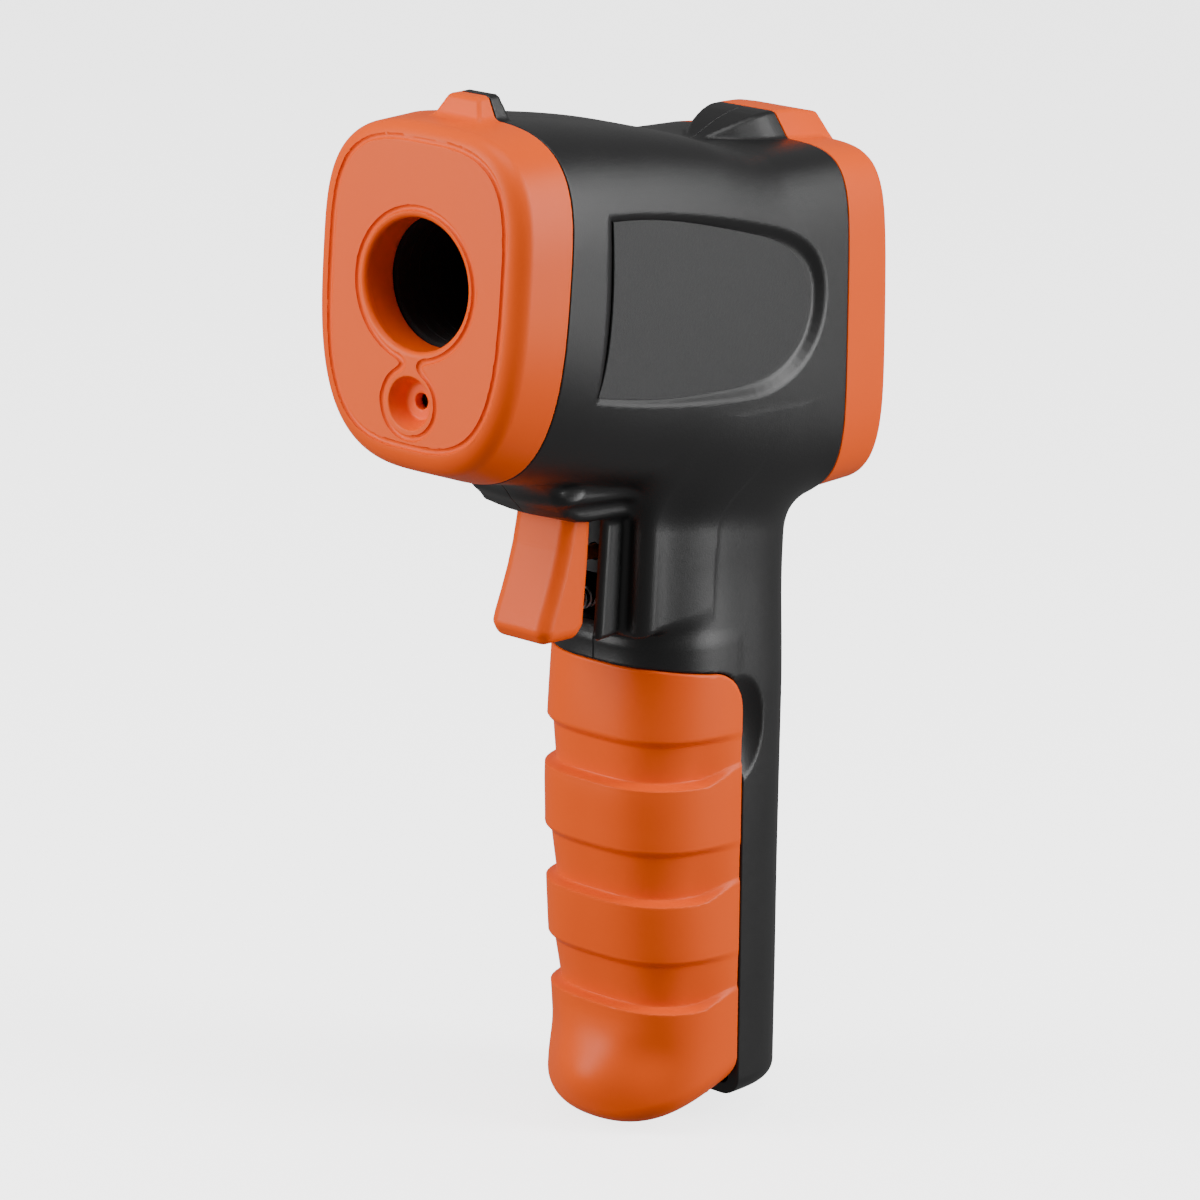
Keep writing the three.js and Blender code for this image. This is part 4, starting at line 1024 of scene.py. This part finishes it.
def infrared_optic():
    net = Net("infrared_window")
    haze = net.noise(150.0, 3.0)
    return net.finish({
        "Base Color": net.blend(haze, colour(0.035, 0.03, 0.045), colour(0.06, 0.05, 0.07)),
        "Metallic": 0.35,
        "Roughness": 0.10 + haze * 0.06,
        "Coat Weight": 0.6,
        "Coat Roughness": 0.05,
    })


def resting_display():
    """A display that is switched off: pale green-grey glass with a faint noise haze."""
    net = Net("resting_display")
    haze = net.noise(70.0, 2.0)
    return net.finish({
        "Base Color": net.blend(haze, colour(0.25, 0.29, 0.24), colour(0.30, 0.34, 0.28)),
        "Roughness": 0.22 + haze * 0.08,
        "Coat Weight": 0.5,
    })


def circuit_board():
    net = Net("solder_mask")
    spot = net.place()
    cells = net.node("ShaderNodeTexVoronoi", {"feature": "F1", "distance": "MANHATTAN"},
                     {"Vector": spot, "Scale": 520.0}, output="Distance")
    bands = net.node("ShaderNodeTexBrick", {},
                     {"Vector": spot, "Scale": 260.0, "Mortar Size": 0.03}, output="Fac")
    tracks = (cells < 0.18) * 0.5 + bands * 0.5
    return net.finish({
        "Base Color": net.blend(tracks, colour(0.010, 0.085, 0.030), colour(0.035, 0.17, 0.06)),
        "Roughness": 0.32 + tracks * 0.12,
        "Normal": net.bump(tracks, 0.2, 0.00005),
        "Coat Weight": 0.4,
    })


def battery_jacket():
    """A cell's printed sleeve: dark body, one plain coloured band near the raised end."""
    net = Net("cell_sleeve")
    z = net.apart(net.place())[2]
    top = float(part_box("battery_left")[1][2])
    band = (z > top - 0.0135) * (z < top - 0.0035)
    wear = net.noise(220.0, 3.0)
    body = net.blend(wear, colour(0.020, 0.022, 0.026), colour(0.032, 0.034, 0.040))
    return net.finish({
        "Base Color": net.blend(band, body, colour(0.55, 0.33, 0.06)),
        "Metallic": band * 0.7,
        "Roughness": 0.28 + wear * 0.12,
    })


def soft_rubber():
    net = Net("button_rubber")
    grain = net.noise(2400.0, 3.0, 0.6)
    cloud = net.noise(70.0, 2.0)
    return net.finish({
        "Base Color": net.blend(cloud, colour(0.085, 0.088, 0.092), colour(0.105, 0.108, 0.112)),
        "Roughness": 0.62 + (grain - 0.5) * 0.2,
        "Normal": net.bump(grain, 0.3, 0.00006),
    })


def plain_part(name, tint, shade, rough, scale=500.0):
    net = Net(name)
    grain = net.noise(scale, 3.0, 0.6)
    return net.finish({
        "Base Color": net.blend(grain, shade, tint),
        "Roughness": rough + (grain - 0.5) * 0.15,
        "Normal": net.bump(grain, 0.15, 0.00004),
    })


FINISHES = {
    "black_plastic": black_plastic(),
    "orange_plastic": orange_plastic(),
    "matt_black": plain_part(
        "matt_black", colour(0.0022, 0.0022, 0.0023), colour(0.0012, 0.0012, 0.0013), 0.85),
    "label": label_film(),
    "infrared_optic": infrared_optic(),
    "clear_optic": clear_optic(),
    "display": resting_display(),
    "circuit_board": circuit_board(),
    "chip_black": plain_part(
        "chip_epoxy", colour(0.020, 0.020, 0.021), colour(0.012, 0.012, 0.013), 0.5, 1500.0),
    "plated_steel": metal("plated_steel", colour(0.72, 0.72, 0.71), colour(0.55, 0.55, 0.55), 0.27),
    "brass": metal("turned_brass", colour(0.80, 0.58, 0.24), colour(0.66, 0.45, 0.17), 0.30),
    "battery_jacket": battery_jacket(),
    "grey_rubber": soft_rubber(),
    "switch_orange": plain_part("switch_orange", colour(0.62, 0.16, 0.02), colour(0.52, 0.12, 0.015), 0.45),
    "red_insulation": plain_part(
        "red_insulation", colour(0.50, 0.015, 0.012), colour(0.40, 0.010, 0.008), 0.40),
    "black_insulation": plain_part(
        "black_insulation", colour(0.016, 0.016, 0.016), colour(0.009, 0.009, 0.009), 0.42),
}


# ---------------------------------------------------------------- node-built pieces
class Growth:
    """A geometry tree built in steps, turned into a plain mesh at the end."""

    def __init__(self, name):
        self.name = name
        self.tree = bpy.data.node_groups.new(name, "GeometryNodeTree")
        self.tree.interface.new_socket("Geometry", in_out="INPUT", socket_type="NodeSocketGeometry")
        self.tree.interface.new_socket("Geometry", in_out="OUTPUT", socket_type="NodeSocketGeometry")
        self.entry = self.tree.nodes.new("NodeGroupInput")
        self.exit = self.tree.nodes.new("NodeGroupOutput")
        self.fields = {}

    def size(self, name, kind="NodeSocketFloat"):
        """A named input of the tree."""
        item = self.tree.interface.new_socket(name, in_out="INPUT", socket_type=kind)
        self.fields[name] = item.identifier
        return next(s for s in self.entry.outputs if s.identifier == item.identifier)

    def node(self, kind, settings=None, inputs=None, output=0):
        made = self.tree.nodes.new(kind)
        for key, value in (settings or {}).items():
            setattr(made, key, value)
        for key, value in (inputs or {}).items():
            if isinstance(value, bpy.types.NodeSocket):
                self.tree.links.new(value, made.inputs[key])
            else:
                made.inputs[key].default_value = value
        return made.outputs[output]

    def maths(self, operation, a, b=0.0):
        return self.node("ShaderNodeMath", {"operation": operation}, {0: a, 1: b})

    def point(self, x=0.0, y=0.0, z=0.0):
        return self.node("ShaderNodeCombineXYZ", {}, {0: x, 1: y, 2: z})

    def joined(self, *parts):
        made = self.tree.nodes.new("GeometryNodeJoinGeometry")
        for part in parts:
            self.tree.links.new(part, made.inputs[0])
        return made.outputs[0]

    def close(self, shape, finish):
        whole = self.node("GeometryNodeRealizeInstances", {}, {0: shape})
        dressed = self.node("GeometryNodeSetMaterial", {}, {0: whole, "Material": FINISHES[finish]})
        self.tree.links.new(dressed, self.exit.inputs[0])
        self.finish = finish

    def grow(self, name, sizes, turn):
        """A plain mesh of the tree at the given sizes, put in place by a matrix in metres."""
        seed = bpy.data.objects.new(name, bpy.data.meshes.new(name))
        bpy.context.scene.collection.objects.link(seed)
        modifier = seed.modifiers.new(self.name, "NODES")
        modifier.node_group = self.tree
        for field, value in sizes.items():
            modifier[self.fields[field]] = value
        seed.update_tag()
        bpy.context.view_layer.update()
        shown = seed.evaluated_get(bpy.context.evaluated_depsgraph_get())
        mesh = bpy.data.meshes.new_from_object(shown)
        seed.modifiers.clear()
        mesh.name = name
        mesh.transform(turn)
        seed.data = mesh
        heal(seed)
        return seed


def coil_tree():
    """A sprung wire: its radius may run from one size to another."""
    tree = Growth("coil")
    start, end = tree.size("start_radius"), tree.size("end_radius")
    height, turns, wire = tree.size("height"), tree.size("turns"), tree.size("wire_radius")
    line = tree.node("GeometryNodeCurveSpiral", {}, {
        "Resolution": 40, "Rotations": turns, "Start Radius": start, "End Radius": end, "Height": height})
    section = tree.node("GeometryNodeCurvePrimitiveCircle", {}, {"Resolution": 12, "Radius": wire})
    body = tree.node("GeometryNodeCurveToMesh", {}, {
        "Curve": line, "Profile Curve": section, "Fill Caps": True})
    tree.close(body, "plated_steel")
    return tree


def screw_tree():
    """A pan-headed screw with a crossed recess and a running thread, its head's top at zero."""
    tree = Growth("screw")
    head_r, head_h = tree.size("head_radius"), tree.size("head_height")
    shank_r, length = tree.size("shank_radius"), tree.size("length")
    pitch, depth = tree.size("pitch"), tree.size("thread_depth")
    dome = tree.node("GeometryNodeMeshUVSphere", {}, {"Segments": 40, "Rings": 20, "Radius": 1.0})
    flat = tree.node("GeometryNodeTransform", {}, {
        "Geometry": dome, "Scale": tree.point(head_r, head_r, tree.maths("MULTIPLY", head_h, 1.1)),
        "Translation": tree.point(z=tree.maths("MULTIPLY", head_h, -1.1))})
    reach = tree.maths("MULTIPLY", head_r, 4.0)
    cutter = tree.node("GeometryNodeMeshCube", {}, {"Size": tree.point(reach, reach, head_h)})
    cutter = tree.node("GeometryNodeTransform", {}, {
        "Geometry": cutter, "Translation": tree.point(z=tree.maths("MULTIPLY", head_h, -1.5))})
    arm = tree.node("GeometryNodeMeshCube", {}, {"Size": tree.point(
        tree.maths("MULTIPLY", head_r, 1.15), tree.maths("MULTIPLY", head_r, 0.24), head_h)})
    cross = tree.node("GeometryNodeTransform", {}, {"Geometry": arm, "Rotation": (0.0, 0.0, math.pi / 2)})
    made = tree.tree.nodes.new("GeometryNodeMeshBoolean")
    made.operation = "DIFFERENCE"
    tree.tree.links.new(flat, made.inputs[0])
    for part in (arm, cross, cutter):
        tree.tree.links.new(part, made.inputs[1])
    head = made.outputs[0]
    below = tree.maths("MULTIPLY", tree.maths("ADD", length, head_h), -1.0)
    shank = tree.node("GeometryNodeMeshCylinder", {}, {"Vertices": 32, "Radius": shank_r, "Depth": length})
    shank = tree.node("GeometryNodeTransform", {}, {"Geometry": shank, "Translation": tree.point(
        z=tree.maths("MULTIPLY", tree.maths("ADD", below, tree.maths("MULTIPLY", head_h, -0.9)), 0.5))})
    turns = tree.maths("DIVIDE", tree.maths("MULTIPLY", length, 0.86), pitch)
    line = tree.node("GeometryNodeCurveSpiral", {}, {
        "Resolution": 28, "Rotations": turns, "Start Radius": shank_r, "End Radius": shank_r,
        "Height": tree.maths("MULTIPLY", length, 0.86)})
    section = tree.node("GeometryNodeCurvePrimitiveCircle", {}, {"Resolution": 6, "Radius": depth})
    thread = tree.node("GeometryNodeCurveToMesh", {}, {
        "Curve": line, "Profile Curve": section, "Fill Caps": True})
    thread = tree.node("GeometryNodeTransform", {}, {"Geometry": thread, "Translation": tree.point(
        z=tree.maths("ADD", below, tree.maths("MULTIPLY", depth, 1.5)))})
    tree.close(tree.joined(head, shank, thread), "plated_steel")
    return tree


def barrel_tree():
    """A tube lined with evenly spaced stray-light rings, open at both ends."""
    tree = Growth("barrel")
    radius, length, wall = tree.size("radius"), tree.size("length"), tree.size("wall")
    rings, lip = tree.size("rings", "NodeSocketInt"), tree.size("lip")
    far = tree.point(z=length)
    line = tree.node("GeometryNodeCurvePrimitiveLine", {}, {"Start": (0.0, 0.0, 0.0), "End": far})
    outer = tree.node("GeometryNodeCurvePrimitiveCircle", {}, {"Resolution": 96, "Radius": radius})
    solid = tree.node("GeometryNodeCurveToMesh", {}, {
        "Curve": line, "Profile Curve": outer, "Fill Caps": True})
    middle = tree.maths("SUBTRACT", radius, wall)
    bore = tree.node("GeometryNodeMeshCylinder", {}, {
        "Vertices": 96, "Radius": middle, "Depth": tree.maths("MULTIPLY", length, 3.0)})
    made = tree.tree.nodes.new("GeometryNodeMeshBoolean")
    made.operation = "DIFFERENCE"
    tree.tree.links.new(solid, made.inputs[0])
    tree.tree.links.new(bore, made.inputs[1])
    spots = tree.node("GeometryNodeMeshLine", {}, {
        "Count": rings, "Start Location": tree.point(z=tree.maths("MULTIPLY", lip, 3.0)),
        "Offset": tree.point(z=tree.maths("DIVIDE", tree.maths("MULTIPLY", length, 0.42), rings))})
    path = tree.node("GeometryNodeCurvePrimitiveCircle", {}, {"Resolution": 96, "Radius": middle})
    bead = tree.node("GeometryNodeCurvePrimitiveCircle", {}, {"Resolution": 10, "Radius": lip})
    ring = tree.node("GeometryNodeCurveToMesh", {}, {"Curve": path, "Profile Curve": bead})
    placed = tree.node("GeometryNodeInstanceOnPoints", {}, {"Points": spots, "Instance": ring})
    tree.close(tree.joined(made.outputs[0], placed), "matt_black")
    return tree


# ---------------------------------------------------------------- putting pieces in place
def dress(piece, body, finish, *nodes, look=None):
    """Gives a piece its finish, and lets it stand for the CAD nodes it was shaped after."""
    piece.data.materials.clear()
    piece.data.materials.append(FINISHES[look or finish])
    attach(piece, body)
    if nodes:
        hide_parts(*nodes)
    return piece


def box_axes(low, high, spacing, fine=((), (), ()), fine_spacing=0.15, reach=0.4, margin=0.5):
    return [axis_points(low[a] - margin, high[a] + margin, spacing, fine[a], fine_spacing, reach)
            for a in range(3)]


dress(add_shell("left_half", left_field, 1), "housing", "black_plastic", "left_shell")
dress(add_shell("right_half", right_field, -1), "housing", "black_plastic", "right_shell")

axes = box_axes((-21.5, 0, -31.8), (21.5, 11.2, 28.9), 0.36, ((), (0.1, 11.2), ()), 0.18, 0.5)
dress(contour("nose_bezel", front_bezel_field, *axes), "housing", "orange_plastic", "front_bezel")

axes = box_axes((-21.5, 80, -42), (21.5, 97.7, 22.2), 0.48, ((), (REAR_SEAM,), ()), 0.2, 0.4)
tail = contour("tail_bezel", rear_bezel_field, *axes, warp=lambda y, z: y - z * TILT)
dress(tail, "housing", "orange_plastic", "rear_bezel")

axes = box_axes((-16, 40, -148.4), (16, 72, -66.5), 0.48, ((), (SIDE_SEAM,), (-67.3,)), 0.17, 0.45)
dress(contour("grip_door", door_field, *axes, warp=lambda y, z: y - SIDE_LEAN * (z + 79)), "battery_door",
      "orange_plastic", "battery_door")

axes = box_axes((-6, 28.7, -60.8), (6, 40, -29.8), 0.33)
dress(contour("finger_trigger", trigger_field, *axes), "trigger", "orange_plastic", "trigger")

axes = box_axes(TRAY_LOW, TRAY_HIGH, 0.45)
dress(contour("cell_tray", tray_field, *axes), "housing", "black_plastic", "battery_tray")

# Labels
for side, node in ((1, "label_left"), (-1, "label_right")):
    label = slab("side_" + node, LABEL_LINE, LABEL_FACE - 0.25, LABEL_FACE + 0.12,
                 lambda u, v, depth: (side * depth, u, v), 0.12)
    dress(label, "housing", "label", node)

# Window, display and buttons
middle = (WINDOW_TOP + WINDOW_LOW) / 2
window = slab("screen_window", round_rect(WINDOW_HALF, (WINDOW_TOP - WINDOW_LOW) / 2, 2.4, (0, middle)),
              WINDOW_BACK, WINDOW_FRONT, lambda u, v, depth: from_display(u, depth, v), 0.15)
dress(window, "housing", "clear_optic", "display_window")
panel = slab("screen_panel", round_rect(WINDOW_HALF, (WINDOW_TOP - WINDOW_LOW) / 2, 0.8, (0, middle)),
             WINDOW_BACK - 3.0, WINDOW_BACK - 0.2, lambda u, v, depth: from_display(u, depth, v), 0.15)
dress(panel, "housing", "display", "display_module")

BUTTON_PROFILE = fillet(
    [(0, 7.38), (4.5, 7.38), (4.5, 7.9), (BUTTON_R, 7.9), (BUTTON_R, FACE_DEPTH + BUTTON_PROUD),
     (2.2, FACE_DEPTH + BUTTON_PROUD - 0.25), (0, FACE_DEPTH + BUTTON_PROUD - 0.4)],
    (0, 0.1, 0.1, 0, 0.7, 0.5, 0), 6)
for place, name in ((-1, "up_button"), (0, "mode_button"), (1, "down_button")):
    cap = turned("rubber_" + name, BUTTON_PROFILE,
                 lambda u, v, travel: from_display(place * BUTTON_PITCH + u, travel, BUTTON_Z + v))
    dress(cap, name, "grey_rubber", name)

# Barrel and lens
barrel_low, barrel_high = cad("sensor_barrel")
barrel_r = float(barrel_high[0])
BARREL = barrel_tree()
to_y = Matrix.Rotation(-math.pi / 2, 4, "X")
place = Matrix.Translation(to_row((0, float(barrel_low[1]), 0)))
barrel = BARREL.grow("light_barrel", {
    "radius": barrel_r * MM, "length": float(barrel_high[1] - barrel_low[1]) * MM, "wall": 1.5 * MM,
    "rings": 7, "lip": 0.10 * MM}, place @ to_y)
dress(barrel, "housing", "black_plastic", "sensor_barrel", look="matt_black")

lens_low, lens_high = cad("infrared_lens")
LENS_R = float(lens_high[0])
lens_profile = []
for n in range(13):
    share = 1 - n / 12
    lens_profile.append((LENS_R * share, float(lens_low[1]) + 0.35 * share ** 2 + 0.02))
lens_back = float(lens_high[1])
lens_profile += [(0, lens_back), (LENS_R * 0.96, lens_back), (LENS_R, lens_back - 0.3)]
dress(turned("front_lens", lens_profile, along_y), "housing", "infrared_optic", "infrared_lens")

# Screws
SCREW = screw_tree()


def add_screw(name, node):
    low, high = cad(node)
    head_x = low[0]
    place = Matrix.Translation(to_row((head_x, (low[1] + high[1]) / 2, (low[2] + high[2]) / 2)))
    turn = Matrix.Rotation(-math.pi / 2, 4, "Y")
    length = high[0] - low[0]
    head_r = (high[2] - low[2]) / 2
    head_h = head_r * 0.77
    screw = SCREW.grow(name, {
        "head_radius": head_r * MM, "head_height": head_h * MM, "shank_radius": 1.1 * MM,
        "length": (length - head_h) * 0.97 * MM, "pitch": 0.8 * MM, "thread_depth": 0.14 * MM}, place @ turn)
    dress(screw, "housing", "plated_steel", node)


for n in range(1, 6):
    add_screw(f"case_screw_{n}", f"body_screw_{n}")
for n in (1, 2):
    add_screw(f"pcb_screw_{n}", f"board_screw_{n}")

# Springs
COIL = coil_tree()
low, high = cad("trigger_spring")
reach = (high[0] - low[0]) / 2
spring = COIL.grow("return_spring", {
    "start_radius": (reach - 0.3) * MM, "end_radius": (reach - 0.3) * MM,
    "height": float(high[1] - low[1] - 0.7) * MM,
    "turns": 5.0, "wire_radius": 0.28 * MM},
    Matrix.Translation(to_row((0, low[1] + 0.35, (low[2] + high[2]) / 2))) @ to_y)
dress(spring, "trigger", "plated_steel", "trigger_spring")
low, high = cad("contact_spring_left")
spring = COIL.grow("cell_spring", {
    "start_radius": float(high[0] - low[0] - 0.7) / 2 * MM, "end_radius": 1.3 * MM,
    "height": float(high[2] - low[2] - 0.7) * MM, "turns": 4.0, "wire_radius": 0.3 * MM},
    Matrix.Translation(to_row(((low[0] + high[0]) / 2, (low[1] + high[1]) / 2, high[2] - 0.35)))
    @ Matrix.Rotation(math.pi, 4, "X"))
dress(spring, "housing", "plated_steel", "contact_spring_left")

# Cells
for node, up in (("battery_left", -1), ("battery_right", 1)):
    low, high = cad(node)
    radius = float(high[0] - low[0]) / 2 - 0.02
    length = float(high[2] - low[2]) - 0.02
    profile = fillet([(0, 0), (radius - 0.9, 0), (radius - 0.7, 0.25), (radius, 0.3), (radius, length - 1.1),
                      (radius - 0.9, length - 0.85), (1.9, length - 0.8), (1.9, length), (0, length)],
                     (0, 0.2, 0.1, 0.4, 0.5, 0.2, 0.1, 0.3, 0), 4)
    start = float(low[2]) if up > 0 else float(high[2])
    middle = (low + high) / 2
    cell = turned("cell_" + node, profile,
                  lambda u, v, travel: (middle[0] + u, middle[1] + v, start + up * travel))
    dress(cell, "housing", "battery_jacket", node)

# Everything else keeps its CAD shape
SHOWN_AS = {"laser_lens": "infrared_optic"}
SLOTS = {part["node"]: part["material_slot"] for part in frame["record"]["subparts"]}
for node, part in frame["nodes"].items():
    if not part.hide_render:
        part.data.materials.clear()
        part.data.materials.append(FINISHES[SHOWN_AS.get(node, SLOTS[node])])


# ---------------------------------------------------------------- floor and light
FLOOR_HALF = 3.0
FLOOR_GLOW = 3.0
FLOOR_GAP = 0.0005


def pale_surface():
    net = Net("pale_surface")
    cloud = net.noise(3.0, 2.0)
    return net.finish({
        "Base Color": net.blend(cloud, colour(0.86, 0.86, 0.86), colour(0.88, 0.88, 0.88)),
        "Roughness": 0.85 + cloud * 0.05,
        "Emission Color": net.blend(cloud, colour(0.97, 0.97, 0.97), colour(1.0, 1.0, 1.0)),
        "Emission Strength": FLOOR_GLOW,
    })


def add_floor():
    h = FLOOR_HALF
    mesh = bpy.data.meshes.new("floor")
    corners = [(x, y, -FLOOR_GAP) for x, y in ((-h, -h), (h, -h), (h, h), (-h, h))]
    mesh.from_pydata(corners, [], [(0, 1, 2, 3)])
    floor = bpy.data.objects.new("floor", mesh)
    floor.data.materials.append(pale_surface())
    bpy.context.scene.collection.objects.link(floor)
    floor.visible_diffuse = False
    floor.visible_glossy = False
    floor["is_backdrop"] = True


def add_light(name, azimuth, elevation, distance, width, height, power, target=(0.0, 0.0, 0.105)):
    """A soft panel seen from the object at these angles, its azimuth counted from ahead of the muzzle."""
    a, e = math.radians(azimuth), math.radians(elevation)
    away = Vector((math.sin(a) * math.cos(e), -math.cos(a) * math.cos(e), math.sin(e)))
    data = bpy.data.lights.new(name, "AREA")
    data.shape = "RECTANGLE"
    data.size, data.size_y = width, height
    data.energy = power
    lamp = bpy.data.objects.new(name, data)
    aim = away.to_track_quat("Z", "Y").to_matrix().to_4x4()
    lamp.matrix_world = Matrix.Translation(Vector(target) + away * distance) @ aim
    bpy.context.scene.collection.objects.link(lamp)
    lamp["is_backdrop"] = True


def add_world(strength):
    world = bpy.data.worlds.new("studio")
    world.use_nodes = True
    world.node_tree.nodes["Background"].inputs["Color"].default_value = colour(1, 1, 1)
    world.node_tree.nodes["Background"].inputs["Strength"].default_value = strength
    bpy.context.scene.world = world


add_floor()
add_light("left_panel", -28, 15, 0.75, 0.35, 0.8, 7.4)
add_light("right_panel", 122, 18, 0.75, 0.30, 0.8, 7.6)
add_light("top_panel", 40, 78, 0.8, 0.5, 0.5, 3.0)
add_world(0.25)

[[list(map(float, corner)) for corner in box] for box in (CAD_BOX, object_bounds())]
